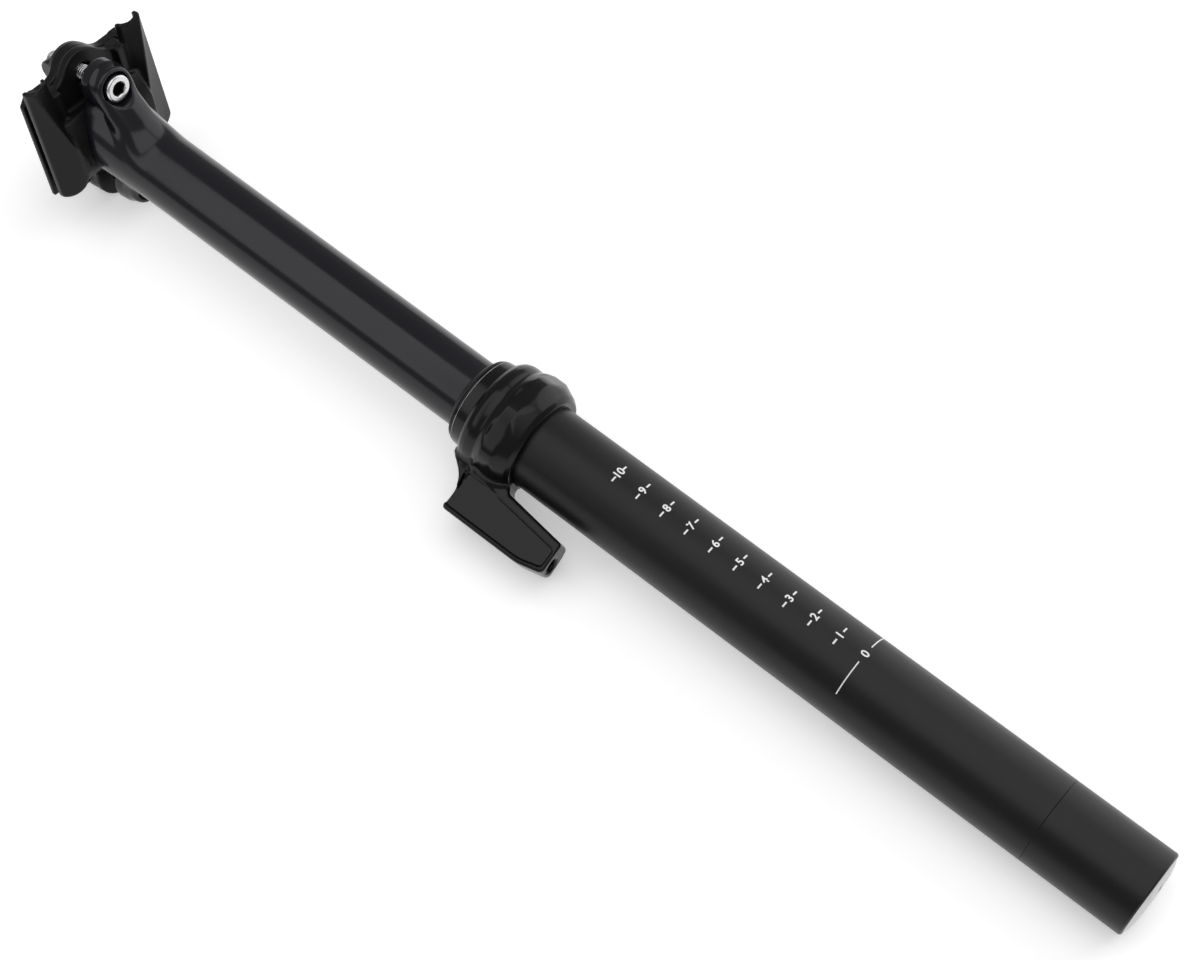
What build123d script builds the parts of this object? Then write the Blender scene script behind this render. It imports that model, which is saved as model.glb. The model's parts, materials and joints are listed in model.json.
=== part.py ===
"""A dropper seatpost: outer tube, cable collar, sliding inner post with a gas
cartridge, lever works that open its valve, and a two-bolt saddle clamp.

The origin is the centre of the outer tube's bottom face. +Z runs up the post,
+X points to the front of the saddle and +Y to the side of the cable arm.
"""
import os
from math import asin, cos, radians, sin, tan

from build123d import *

os.makedirs("parts", exist_ok=True)

# Gaps between pieces
RUN_GAP = 0.05
SEAT_GAP = 0.03
SLOT_GAP = 0.3
PULL_GAP = 0.15
OVERRUN = 1.0
CORNER_SIDE_SHARE = 0.48

# Outer tube, bottom cap and end plug
OUTER_DIAMETER = 30.9
OUTER_WALL = 1.45
TUBE_LENGTH = 219.7
TUBE_THREAD_DROP = 0.3
TUBE_THREAD_LEAD = 0.4
CAP_LENGTH = 39.3
CAP_SPIGOT = 11.0
CAP_WALL = 2.1
CAP_LEDGE = 0.75
CAP_LEDGE_HEIGHT = 30.0
END_CHAMFER = 1.0
PLUG_FLANGE = 1.6
PLUG_FLANGE_RIM = 0.25
PLUG_DEPTH = 7.0
PLUG_SPANNER_HOLE = 3.0
PLUG_SPANNER_SPACING = 15.0
PLUG_SPANNER_DEPTH = 4.0

# Collar, its flats and the cable arm
COLLAR_SKIRT = 14.0
COLLAR_RADIUS = 21.6
COLLAR_HEIGHT = 21.4
COLLAR_SHOULDER = 1.1
COLLAR_SHOULDER_LIP = 1.35
COLLAR_THREAD_WALL = 3.8
FLATS_ACROSS = 40.8
FLAT_SIDES = 8
FLATS_HEIGHT = 12.2
ORING_SEAT = 2.0
ORING_WIDTH = 1.5
ORING_THICKNESS = 1.5
ARM_AZIMUTH = 64.0
ARM_REACH = 36.4
ARM_LENGTH = 42.0
ARM_TOP_STEP = 0.2
ARM_THICKNESS = 11.5
ARM_TIP_TAPER = 9.6
ARM_TIP_SETBACK = 2.2
ARM_TIP_WIDTH = 11.8
ARM_INNER_ROOT = 19.4
ARM_ROOT_DROP = 2.3
ARM_TOP_FILLET = 10.0
ARM_CORNER = 1.6
ARM_KNEE_FILLET = 18.0
ARM_BORDER = 1.6
ARM_RECESS = 1.9
COVER_THICKNESS = 1.3
COVER_TOP_DROP = 1.6
POCKET_WALL = 1.9
POCKET_HEIGHT = 13.5
POCKET_REACH = 33.8

# Cable entry in the arm
CABLE_HOUSING_DIAMETER = 5.0
CABLE_HOUSING_DEPTH = 12.0
CABLE_WIRE_HOLE = 2.4
CABLE_LINE = 30.1
CABLE_STOP_LENGTH = 2.4
CABLE_STOP_LEDGE = 0.35

# Seal retainer, wiper seal and upper bushing
RETAINER_RADIUS = 16.9
RETAINER_TIER = 16.4
RETAINER_HEIGHT = 4.8
RETAINER_LIP = 1.0
RETAINER_LIP_RADIUS = 16.1
RETAINER_SKIRT = 6.2
BUSHING_LENGTH = 9.5
SEAL_SEAT = 1.9
SEAL_RADIUS = 14.85
SEAL_FLARE = 15.6
SEAL_LIP_HEIGHT = 2.0
SEAL_GROOVE = 0.4
SEAL_LIP_WIDTH = 0.7
SEAL_RELIEF = 0.7

# Inner post
POST_DIAMETER = 25.4
POST_WALL = 1.4
TRAVEL = 140.0
HEAD_STANDOFF = 3.4
POST_INSERT = 82.6
POST_BORE_END = 10.0
NECK_LENGTH = 34.1
LOWER_BUSHING_LENGTH = 14.0
LOWER_BUSHING_SEAT = 4.0
LOWER_BUSHING_RECESS = 0.3
KEY_COUNT = 3
KEY_WIDTH = 2.5
KEY_LENGTH = 10.0
KEY_DEPTH = 0.5
KEY_REACH = 0.45
KEY_RISE = 24.0
KEY_OVERTRAVEL = 2.0
KEY_STOP = 0.5

# Gas cartridge
ROD_RADIUS = 5.0
ROD_BORE = 1.6
ROD_TAIL_RADIUS = 3.5
CYLINDER_RADIUS = 11.0
CYLINDER_WALL = 1.5
CYLINDER_START = 8.0
GLAND_FLANGE = 2.0
GLAND_DEPTH = 4.5
ROD_SEAL_WIDTH = 1.6
ROD_SEAL_HEIGHT = 2.0
LOCKNUT_HEIGHT = 5.0
LOCKNUT_BORE = 6.2
PISTON_CLEAR = 2.0
PISTON_HEIGHT = 10.0
PISTON_SEAL_HEIGHT = 2.2
PISTON_SEAL_DEPTH = 1.1
GAS_LENGTH = 45.0
FLOAT_HEIGHT = 9.0
GAS_CAP_DEPTH = 6.0
GAS_CAP_FLANGE = 3.0
GAS_CAP_BORE = 2.0

# Valve works in the bottom cap
BASE_HEIGHT = 7.0
BUMPER_HEIGHT = 4.0
BUMPER_BORE = 6.0
BUMPER_RADIUS = 11.5
ROD_NUT_FLATS = 11.0
ROD_NUT_HEIGHT = 4.2
VALVE_RADIUS = 1.5
VALVE_END_GAP = 10.7
VALVE_BUTTON = 3.2
VALVE_BUTTON_HEIGHT = 1.2
SPRING_WIRE = 0.6
SPRING_RADIUS = 2.4
SPRING_TURNS = 4
ROCKER_PIVOT = 9.0
ROCKER_HEIGHT = 16.0
ROCKER_WIDTH = 3.0
ROCKER_HUB = 2.6
ROCKER_NOSE = 1.0
ROCKER_NOSE_PLACE = 12.7
ROCKER_PAD = 1.0
ROCKER_PAD_REAR = 3.6
BUTTON_GAP = 0.25
ROCKER_PIN_RADIUS = 1.25
LUG_THICKNESS = 2.2
LUG_WIDTH = 4.8
LUG_FOOT = 2.4

# Release lever and pull strip
LEVER_PIVOT = 22.5
LEVER_DROP = 6.0
LEVER_ARM = 8.6
LEVER_SWING = 16.0
LEVER_THICKNESS = 3.0
LEVER_HUB = 2.9
LEVER_EYE = 2.9
LEVER_NOSE = 1.0
LEVER_PIN_RADIUS = 1.5
BARREL_RADIUS = 1.9
BARREL_LENGTH = 5.0
BARREL_WIRE_HOLE = 0.8
BARREL_SCREW_RADIUS = 1.0
BARREL_SCREW_DEPTH = 1.3
STRIP_PLACE = 13.0
STRIP_THICKNESS = 0.6
STRIP_WIDTH = 5.6
STRIP_END = 2.2

# Head and saddle clamp
CLAMP_TILT = 16.4
CLAMP_SETFORWARD = 0.8
BOLT_SPACING = 44.0
SADDLE_AXIS = 10.0
SADDLE_RADIUS = 21.0
HEAD_TOP = -5.5
HEAD_FACE = -17.9
BOSS_RADIUS = 7.4
BOSS_TOP = -8.8
SPINE_TOP = -13.0
COUNTERBORE_RADIUS = 6.4
COUNTERBORE_DEPTH = 5.4
COUNTERBORE_LEAD = 3.0
HEAD_LONG = 16.5
HEAD_WIDE = 14.0
NECK_LONG = 15.5
NECK_WIDE = 13.0
NECK_DROP = -20.0
NECK_SHIFT = 3.5
SHOULDER_LONG = 20.5
SHOULDER_WIDE = 13.6
SHOULDER_DROP = -14.5
SHOULDER_SHIFT = 1.5
TILT_RANGE = 6.0
RAIL_DIAMETER = 7.0
RAIL_SPACING = 44.0
RAIL_LEVEL = -1.7
RAIL_PINCH = 0.5
HORN_WALL = 1.5
WING_REAR = -31.8
WING_FRONT = 16.2
WING_TAIL_DEPTH = 4.5
WING_KEEL_DEPTH = 8.3
WING_KEEL_INSET = 6.0
WING_FRONT_DEPTH = 5.8
WING_FRONT_INSET = 3.5
WING_SIDE_DEPTH = 2.4
UPPER_REAR = -24.5
UPPER_FRONT = 15.5
UPPER_BOTTOM = 0.5
UPPER_EDGE = 1.7
UPPER_PLATE = 3.0
UPPER_SHELF = 3.1
EAR_RADIUS = 9.5
EAR_BLEND = 5.0
EAR_THICKNESS = 3.5
EAR_TOP = 2.0
EAR_GAP = 1.0
UPPER_EAR_RADIUS = 9.0
UPPER_EAR_THICKNESS = 4.8
WEB_WIDTH = 35.8
WING_SEAM = 0.9
WEB_LENGTH = 26.0
WEB_REAR = -24.0
SIDE_RAIL_WIDTH = 4.4
SIDE_RAIL_DEPTH = 6.4
NUT_RADIUS = 4.5
NUT_LENGTH = 13.0
BOLT_RADIUS = 3.0
BOLT_HOLE_GAP = 0.3
BOLT_HEAD_RADIUS = 5.0
BOLT_HEAD_HEIGHT = 6.0
BOLT_LENGTH = 30.0
BOLT_HEX = 5.0
BOLT_HEX_DEPTH = 3.0
WASHER_RADIUS = 5.6
WASHER_THICKNESS = 1.0

# Heights and radii that follow from the sizes above
outer_radius = OUTER_DIAMETER / 2
tube_bore = outer_radius - OUTER_WALL
tube_top = CAP_LENGTH + TUBE_LENGTH
cap_bore = outer_radius - CAP_WALL
cap_ledge_bore = cap_bore - CAP_LEDGE
plug_radius = outer_radius - END_CHAMFER - PLUG_FLANGE_RIM
collar_base = tube_top - COLLAR_SKIRT
collar_top = collar_base + COLLAR_HEIGHT
thread_low = collar_base - TUBE_THREAD_LEAD
shoulder_base = tube_top + SEAT_GAP
shoulder_top = shoulder_base + COLLAR_SHOULDER
arm_top = tube_top - ARM_TOP_STEP
arm_tip = arm_top - ARM_LENGTH
arm_inner_tip = ARM_REACH - ARM_TIP_SETBACK - ARM_TIP_WIDTH
retainer_top = collar_top + RETAINER_HEIGHT
lip_top = retainer_top + RETAINER_LIP
seal_top = lip_top + SEAL_GROOVE + SEAL_LIP_HEIGHT
post_radius = POST_DIAMETER / 2
post_bore = post_radius - POST_WALL
neck_start = seal_top + TRAVEL + HEAD_STANDOFF
post_bottom = seal_top - POST_INSERT
post_length = neck_start - post_bottom
bore_top = neck_start - POST_BORE_END
key_low = post_bottom + KEY_RISE
base_low = CAP_LEDGE_HEIGHT + SEAT_GAP
base_top = base_low + BASE_HEIGHT
nut_top = base_low - SEAT_GAP
nut_low = nut_top - ROD_NUT_HEIGHT
cylinder_bore = CYLINDER_RADIUS - CYLINDER_WALL
cylinder_low = post_bottom + CYLINDER_START
piston_low = cylinder_low + GLAND_DEPTH + PISTON_CLEAR
rod_top = piston_low + PISTON_HEIGHT - PISTON_CLEAR
lever_height = tube_top - LEVER_DROP
half_swing = LEVER_SWING / 2
nut_level = SADDLE_AXIS
bolt_offset = BOLT_SPACING / 2
rail_offset = RAIL_SPACING / 2
rail_radius = RAIL_DIAMETER / 2

# Working planes
arm_out = Vector(cos(radians(ARM_AZIMUTH)), sin(radians(ARM_AZIMUTH)), 0)
arm_side = Vector(-sin(radians(ARM_AZIMUTH)), cos(radians(ARM_AZIMUTH)), 0)
ARM_PLANE = Plane(origin=(0, 0, 0), x_dir=arm_out, z_dir=-arm_side)
forward = Vector(cos(radians(CLAMP_TILT)), 0, -sin(radians(CLAMP_TILT)))
upward = Vector(sin(radians(CLAMP_TILT)), 0, cos(radians(CLAMP_TILT)))
clamp_centre = Vector(0, 0, neck_start + NECK_LENGTH) + forward * CLAMP_SETFORWARD
CLAMP_PLANE = Plane(origin=clamp_centre, x_dir=forward, z_dir=upward)
clamp_axis = Axis(clamp_centre, upward)
SIDE_PLANE = Plane(origin=clamp_centre, x_dir=forward, z_dir=(0, -1, 0))


def polar_plane(azimuth, height):
    """A level plane at a height, turned so that its x points to the azimuth."""
    turn = radians(azimuth)
    return Plane(origin=(0, 0, height), x_dir=(cos(turn), sin(turn), 0), z_dir=(0, 0, 1))


def corner_radius(points, wanted):
    """The fillet wanted at the middle one of three points, or the largest that its sides leave room for."""
    before, corner, after = (Vector(*point) for point in points)
    half_turn = radians((corner - before).get_angle(after - corner)) / 2
    side = min((corner - before).length, (after - corner).length)
    return min(wanted, CORNER_SIDE_SHARE * side / tan(half_turn))


def keep(piece, name):
    """Names a finished piece and writes it."""
    piece.part.label = name
    export_step(piece.part, f"parts/{name}.step")


# Outer tube
strip_clear_width = STRIP_WIDTH + 2 * SLOT_GAP
key_azimuths = [ARM_AZIMUTH + 180 + turn * 360 / KEY_COUNT for turn in range(KEY_COUNT)]
key_outer = tube_bore + KEY_REACH
groove_low = key_low - TRAVEL - KEY_OVERTRAVEL
groove_high = key_low + KEY_LENGTH + KEY_STOP
window_height = 2 * (LEVER_ARM * sin(radians(half_swing)) + LEVER_NOSE + 2 * SLOT_GAP)
window_width = LEVER_THICKNESS + 2 * SLOT_GAP
with BuildPart() as outer_tube:
    with BuildSketch(Plane.XY.offset(CAP_LENGTH)):
        Circle(outer_radius)
        Circle(tube_bore, mode=Mode.SUBTRACT)
    extrude(amount=TUBE_LENGTH)
    with BuildSketch(Plane.XY.offset(thread_low)):
        Circle(outer_radius + OVERRUN)
        Circle(outer_radius - TUBE_THREAD_DROP, mode=Mode.SUBTRACT)
    extrude(amount=tube_top - thread_low, mode=Mode.SUBTRACT)
    for azimuth in key_azimuths:
        with BuildSketch(polar_plane(azimuth, groove_low)):
            with Locations((tube_bore, 0)):
                Rectangle(2 * (KEY_REACH + RUN_GAP), KEY_WIDTH + 2 * RUN_GAP)
        extrude(amount=groove_high - groove_low, mode=Mode.SUBTRACT)
    with BuildSketch(polar_plane(ARM_AZIMUTH, lever_height - window_height / 2)):
        with Locations((tube_bore, 0)):
            Rectangle(2 * (OUTER_WALL + OVERRUN), window_width)
    extrude(amount=window_height, mode=Mode.SUBTRACT)
keep(outer_tube, "outer_tube")

# Bottom cap
with BuildPart() as bottom_cap:
    with BuildSketch(Plane.XY):
        Circle(outer_radius)
    extrude(amount=CAP_LENGTH - SEAT_GAP)
    chamfer(bottom_cap.edges().group_by(Axis.Z)[0], END_CHAMFER)
    with BuildSketch(Plane.XY.offset(CAP_LENGTH - OVERRUN)):
        Circle(tube_bore - SEAT_GAP)
    extrude(amount=CAP_SPIGOT + OVERRUN)
    with BuildSketch(Plane.XY.offset(CAP_LEDGE_HEIGHT)):
        Circle(cap_bore)
    extrude(amount=CAP_LENGTH + CAP_SPIGOT, mode=Mode.SUBTRACT)
    with BuildSketch(Plane.XY):
        Circle(cap_ledge_bore)
    extrude(amount=CAP_LEDGE_HEIGHT, mode=Mode.SUBTRACT)
    with BuildSketch(Plane.XY):
        Circle(plug_radius)
    extrude(amount=PLUG_FLANGE, mode=Mode.SUBTRACT)
    with BuildSketch(polar_plane(ARM_AZIMUTH, PLUG_DEPTH + OVERRUN)):
        with Locations((STRIP_PLACE, 0)):
            Rectangle(2 * (STRIP_THICKNESS + SLOT_GAP), strip_clear_width)
    extrude(amount=CAP_LENGTH + CAP_SPIGOT, mode=Mode.SUBTRACT)
keep(bottom_cap, "bottom_cap")

# End plug, with two holes for a pin spanner
with BuildPart() as end_plug:
    with BuildSketch(Plane.XY):
        Circle(plug_radius - SEAT_GAP)
    extrude(amount=PLUG_FLANGE - SEAT_GAP)
    with BuildSketch(Plane.XY):
        Circle(cap_ledge_bore - SEAT_GAP)
    extrude(amount=PLUG_DEPTH)
    with BuildSketch(Plane.XY):
        with GridLocations(PLUG_SPANNER_SPACING, 0, 2, 1):
            Circle(PLUG_SPANNER_HOLE / 2)
    extrude(amount=PLUG_SPANNER_DEPTH, mode=Mode.SUBTRACT)
keep(end_plug, "end_plug")

# Collar housing with its cable arm: shares of the collar's radius and height
collar_profile_shares = (
    (0.824, 0.0), (0.889, 0.07), (1.0, 0.313), (1.0, 0.523), (0.954, 0.617), (0.926, 0.678),
    (0.935, 0.78), (0.935, 0.85), (0.915, 0.93), (0.866, 1.0),
)
collar_points = [
    (COLLAR_RADIUS * across, collar_base + COLLAR_HEIGHT * up) for across, up in collar_profile_shares
]
thread_radius = RETAINER_RADIUS - COLLAR_SHOULDER_LIP - ORING_THICKNESS / 2
arm_knee = arm_tip + ARM_TIP_TAPER
arm_rounds = (0, 0, ARM_TOP_FILLET, ARM_CORNER, ARM_KNEE_FILLET, ARM_CORNER, ARM_CORNER)
arm_points = [
    (tube_bore, collar_top), (collar_points[-1][0], collar_top),
    (ARM_REACH - ARM_TOP_FILLET, arm_top), (ARM_REACH, arm_top), (ARM_REACH, arm_knee),
    (ARM_REACH - ARM_TIP_SETBACK, arm_tip), (arm_inner_tip, arm_tip + ARM_CORNER / 2),
    (ARM_INNER_ROOT, collar_base - ARM_ROOT_DROP), (collar_points[0][0], collar_base), (tube_bore, collar_base),
]
bore_clear = outer_radius - TUBE_THREAD_DROP + SEAT_GAP
arm_clear = outer_radius + SEAT_GAP
cable_top = arm_tip + CABLE_HOUSING_DEPTH
stop_low = cable_top - CABLE_STOP_LENGTH
stop_radius = CABLE_HOUSING_DIAMETER / 2 - CABLE_STOP_LEDGE
near_face = ARM_THICKNESS / 2
cover_top = arm_top - COVER_TOP_DROP
cover_points = [
    (COLLAR_RADIUS + SLOT_GAP, cover_top), (ARM_REACH - ARM_BORDER, cover_top),
    (ARM_REACH - ARM_BORDER, arm_knee), (ARM_REACH - ARM_BORDER - ARM_TIP_SETBACK, arm_tip + ARM_BORDER),
    (arm_inner_tip + ARM_BORDER, arm_tip + ARM_BORDER),
    (COLLAR_RADIUS + SLOT_GAP, collar_base - ARM_ROOT_DROP),
]
pocket_low = lever_height - POCKET_HEIGHT / 2
lever_rise = LEVER_ARM * sin(radians(half_swing))
pocket_high = lever_height + lever_rise + LEVER_EYE + SLOT_GAP
hub_room = LEVER_PIVOT - LEVER_HUB - SLOT_GAP
hub_high = lever_height + lever_rise + BARREL_RADIUS + SLOT_GAP
recess_floor = near_face - ARM_RECESS
lever_clear = LEVER_THICKNESS / 2 + SLOT_GAP
with BuildPart() as collar_housing:
    with BuildSketch(Plane.XZ):
        with BuildLine():
            Polyline([(0, collar_base)] + collar_points + [(0, collar_top)], close=True)
        make_face()
    revolve(axis=Axis.Z)
    with BuildSketch(Plane.XY.offset(collar_base)):
        Circle(COLLAR_RADIUS + OVERRUN)
        RegularPolygon(FLATS_ACROSS / 2, FLAT_SIDES, major_radius=False, mode=Mode.SUBTRACT)
    extrude(amount=FLATS_HEIGHT, mode=Mode.SUBTRACT)
    with BuildSketch(ARM_PLANE) as arm_shape:
        with BuildLine():
            Polyline(arm_points, close=True)
        make_face()
        for index, wanted in enumerate(arm_rounds):
            if wanted:
                corner = arm_shape.vertices().sort_by_distance(Vector(*arm_points[index]))[0]
                fillet(corner, corner_radius(arm_points[index - 1:index + 2], wanted))
    extrude(amount=near_face, both=True)
    with BuildSketch(Plane.XY.offset(arm_tip - OVERRUN)):
        Circle(arm_clear)
    extrude(amount=collar_base - arm_tip + OVERRUN, mode=Mode.SUBTRACT)
    with BuildSketch(Plane.XY.offset(collar_base)):
        Circle(bore_clear)
    extrude(amount=shoulder_base - collar_base, mode=Mode.SUBTRACT)
    with BuildSketch(Plane.XY.offset(shoulder_base)):
        Circle(tube_bore)
    extrude(amount=COLLAR_SHOULDER, mode=Mode.SUBTRACT)
    with BuildSketch(Plane.XY.offset(shoulder_top)):
        Circle(thread_radius)
    extrude(amount=collar_top - shoulder_top + OVERRUN, mode=Mode.SUBTRACT)
    with BuildSketch(Plane.XY.offset(collar_base + ORING_SEAT)):
        Circle(outer_radius + ORING_THICKNESS)
    extrude(amount=ORING_WIDTH, mode=Mode.SUBTRACT)
    with BuildSketch(ARM_PLANE.offset(-near_face)):
        with BuildLine():
            Polyline(cover_points, close=True)
        make_face()
    extrude(amount=ARM_RECESS, mode=Mode.SUBTRACT)
    with BuildSketch(ARM_PLANE.offset(-recess_floor)):
        with BuildLine():
            Polyline([(hub_room, pocket_low), (POCKET_REACH, pocket_low),
                      (POCKET_REACH, hub_high), (hub_room, hub_high)], close=True)
        make_face()
    extrude(amount=recess_floor + lever_clear, mode=Mode.SUBTRACT)
    with BuildSketch(ARM_PLANE.offset(-lever_clear)):
        with BuildLine():
            Polyline([(tube_bore, pocket_low), (POCKET_REACH, pocket_low),
                      (POCKET_REACH, pocket_high), (tube_bore, pocket_high)], close=True)
        make_face()
    extrude(amount=2 * lever_clear, mode=Mode.SUBTRACT)
    with BuildSketch(polar_plane(ARM_AZIMUTH, arm_tip - OVERRUN)):
        with Locations((CABLE_LINE, 0)):
            Circle(CABLE_HOUSING_DIAMETER / 2 + RUN_GAP)
    extrude(amount=stop_low - arm_tip + OVERRUN, mode=Mode.SUBTRACT)
    with BuildSketch(polar_plane(ARM_AZIMUTH, stop_low)):
        with Locations((CABLE_LINE, 0)):
            Circle(stop_radius + SEAT_GAP)
    extrude(amount=CABLE_STOP_LENGTH, mode=Mode.SUBTRACT)
    with BuildSketch(polar_plane(ARM_AZIMUTH, cable_top)):
        with Locations((CABLE_LINE, 0)):
            Circle(CABLE_WIRE_HOLE / 2)
    extrude(amount=pocket_low - cable_top + OVERRUN, mode=Mode.SUBTRACT)
    with BuildSketch(ARM_PLANE.offset(lever_clear)):
        with Locations((LEVER_PIVOT, lever_height)):
            Circle(LEVER_PIN_RADIUS + SEAT_GAP)
    extrude(amount=near_face - lever_clear - POCKET_WALL / 2, mode=Mode.SUBTRACT)
keep(collar_housing, "collar_housing")

# O-ring in the collar's lower end
with BuildPart() as collar_oring:
    with BuildSketch(Plane.XY.offset(collar_base + ORING_SEAT + SEAT_GAP)):
        Circle(outer_radius + ORING_THICKNESS - SEAT_GAP)
        Circle(bore_clear, mode=Mode.SUBTRACT)
    extrude(amount=ORING_WIDTH - 2 * SEAT_GAP)
keep(collar_oring, "collar_oring")

# Cover plate of the arm, with the corner it leaves over the lever
with BuildPart() as arm_cover:
    with BuildSketch(ARM_PLANE.offset(-recess_floor - SEAT_GAP)) as cover_shape:
        with BuildLine():
            Polyline(cover_points, close=True)
        make_face()
        offset(amount=-SEAT_GAP, mode=Mode.REPLACE)
    extrude(amount=-COVER_THICKNESS)
keep(arm_cover, "arm_cover")

# Stop for the end of the cable housing
with BuildPart() as cable_stop:
    with BuildSketch(polar_plane(ARM_AZIMUTH, stop_low)):
        with Locations((CABLE_LINE, 0)):
            Circle(stop_radius)
            Circle(CABLE_WIRE_HOLE / 2, mode=Mode.SUBTRACT)
    extrude(amount=CABLE_STOP_LENGTH - SEAT_GAP)
keep(cable_stop, "cable_stop")

# Seal retainer screwed into the collar
bushing_low = shoulder_top + SEAT_GAP
bushing_high = bushing_low + BUSHING_LENGTH
bushing_outer = tube_bore + SEAT_GAP
skirt_radius = thread_radius - SEAT_GAP
retainer_low = collar_top + SEAT_GAP
retainer_points = [
    (bushing_outer, shoulder_top + SEAT_GAP), (skirt_radius, shoulder_top + SEAT_GAP),
    (skirt_radius, retainer_low), (RETAINER_RADIUS, retainer_low),
    (RETAINER_TIER, retainer_top), (RETAINER_LIP_RADIUS, retainer_top),
    (RETAINER_LIP_RADIUS, lip_top), (SEAL_RADIUS + SEAT_GAP, lip_top),
    (SEAL_RADIUS + SEAT_GAP, lip_top - SEAL_SEAT), (bushing_outer, lip_top - SEAL_SEAT),
]
with BuildPart() as seal_retainer:
    with BuildSketch(Plane.XZ):
        with BuildLine():
            Polyline(retainer_points, close=True)
        make_face()
    revolve(axis=Axis.Z)
keep(seal_retainer, "seal_retainer")

# Bushing at the top of the outer tube
with BuildPart() as upper_bushing:
    with BuildSketch(Plane.XY.offset(bushing_low)):
        Circle(tube_bore)
        Circle(post_radius + RUN_GAP, mode=Mode.SUBTRACT)
    extrude(amount=BUSHING_LENGTH)
keep(upper_bushing, "upper_bushing")

# Wiper seal
seal_low = lip_top - SEAL_SEAT + SEAT_GAP
flare_low = lip_top + SEAL_GROOVE
lip_radius = post_radius + RUN_GAP
seal_points = [
    (SEAL_RADIUS, seal_low), (SEAL_RADIUS, flare_low), (SEAL_FLARE, flare_low),
    (SEAL_FLARE - SEAL_RELIEF, seal_top - SEAL_LIP_HEIGHT / 2),
    (lip_radius + SEAL_LIP_WIDTH, seal_top), (lip_radius, seal_top),
    (lip_radius, seal_top - SEAL_LIP_WIDTH), (lip_radius + SEAL_RELIEF, lip_top),
    (lip_radius, seal_low + SEAL_LIP_WIDTH), (lip_radius, seal_low),
]
with BuildPart() as wiper_seal:
    with BuildSketch(Plane.XZ):
        with BuildLine():
            Polyline(seal_points, close=True)
        make_face()
    revolve(axis=Axis.Z)
keep(wiper_seal, "wiper_seal")

# Release lever, its pin, the wire barrel and the barrel's screw
pin_length = near_face - POCKET_WALL / 2 + recess_floor - 2 * SEAT_GAP
outer_arm = CABLE_LINE - LEVER_PIVOT
tilt_in = Vector(-cos(radians(half_swing)), -sin(radians(half_swing)))
inner_end = (LEVER_PIVOT + tilt_in.X * LEVER_ARM, lever_height + tilt_in.Y * LEVER_ARM)
outer_end = (LEVER_PIVOT - tilt_in.X * outer_arm, lever_height - tilt_in.Y * outer_arm)
nose_base = (LEVER_PIVOT + tilt_in.X * LEVER_ARM / 2, lever_height + tilt_in.Y * LEVER_ARM / 2)
across_arm = Vector(tilt_in.Y, -tilt_in.X)
with BuildPart() as release_lever:
    with BuildSketch(ARM_PLANE.offset(-LEVER_THICKNESS / 2)):
        with Locations(inner_end):
            Circle(LEVER_NOSE)
        with Locations((LEVER_PIVOT, lever_height)):
            Circle(LEVER_HUB)
        with Locations(outer_end):
            Circle(LEVER_EYE)
        with BuildLine():
            Polyline([
                (inner_end[0] + across_arm.X * LEVER_NOSE, inner_end[1] + across_arm.Y * LEVER_NOSE),
                (LEVER_PIVOT + across_arm.X * LEVER_HUB, lever_height + across_arm.Y * LEVER_HUB),
                (outer_end[0] + across_arm.X * LEVER_EYE, outer_end[1] + across_arm.Y * LEVER_EYE),
                (outer_end[0] - across_arm.X * LEVER_EYE, outer_end[1] - across_arm.Y * LEVER_EYE),
                (LEVER_PIVOT - across_arm.X * LEVER_HUB, lever_height - across_arm.Y * LEVER_HUB),
                (inner_end[0] - across_arm.X * LEVER_NOSE, inner_end[1] - across_arm.Y * LEVER_NOSE),
            ], close=True)
        make_face()
    extrude(amount=LEVER_THICKNESS)
    with BuildSketch(ARM_PLANE.offset(-recess_floor + SEAT_GAP)):
        with Locations((LEVER_PIVOT + OVERRUN / 2, lever_height)):
            Circle(LEVER_HUB - OVERRUN / 2)
    extrude(amount=recess_floor - SEAT_GAP)
    with BuildSketch(ARM_PLANE.offset(-near_face)):
        with Locations((LEVER_PIVOT, lever_height)):
            Circle(LEVER_PIN_RADIUS + RUN_GAP)
        with Locations(outer_end):
            Circle(BARREL_RADIUS + RUN_GAP)
    extrude(amount=ARM_THICKNESS, mode=Mode.SUBTRACT)
keep(release_lever, "release_lever")

with BuildPart() as lever_pin:
    with BuildSketch(ARM_PLANE.offset(-recess_floor + SEAT_GAP)):
        with Locations((LEVER_PIVOT, lever_height)):
            Circle(LEVER_PIN_RADIUS)
    extrude(amount=pin_length)
keep(lever_pin, "lever_pin")

barrel_face = LEVER_THICKNESS / 2 + SLOT_GAP - SEAT_GAP
with BuildPart() as cable_barrel:
    with BuildSketch(ARM_PLANE.offset(barrel_face)):
        with Locations(outer_end):
            Circle(BARREL_RADIUS)
    extrude(amount=-BARREL_LENGTH)
    with BuildSketch(polar_plane(ARM_AZIMUTH, lever_height - LEVER_ARM)):
        with Locations((outer_end[0], 0)):
            Circle(BARREL_WIRE_HOLE)
    extrude(amount=2 * LEVER_ARM, mode=Mode.SUBTRACT)
    with BuildSketch(ARM_PLANE.offset(barrel_face - BARREL_LENGTH)):
        with Locations(outer_end):
            Circle(BARREL_SCREW_RADIUS + SEAT_GAP)
    extrude(amount=BARREL_SCREW_DEPTH, mode=Mode.SUBTRACT)
keep(cable_barrel, "cable_barrel")

with BuildPart() as barrel_screw:
    with BuildSketch(ARM_PLANE.offset(barrel_face - BARREL_LENGTH)):
        with Locations(outer_end):
            Circle(BARREL_SCREW_RADIUS)
    extrude(amount=BARREL_SCREW_DEPTH - SEAT_GAP)
keep(barrel_screw, "barrel_screw")

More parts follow.
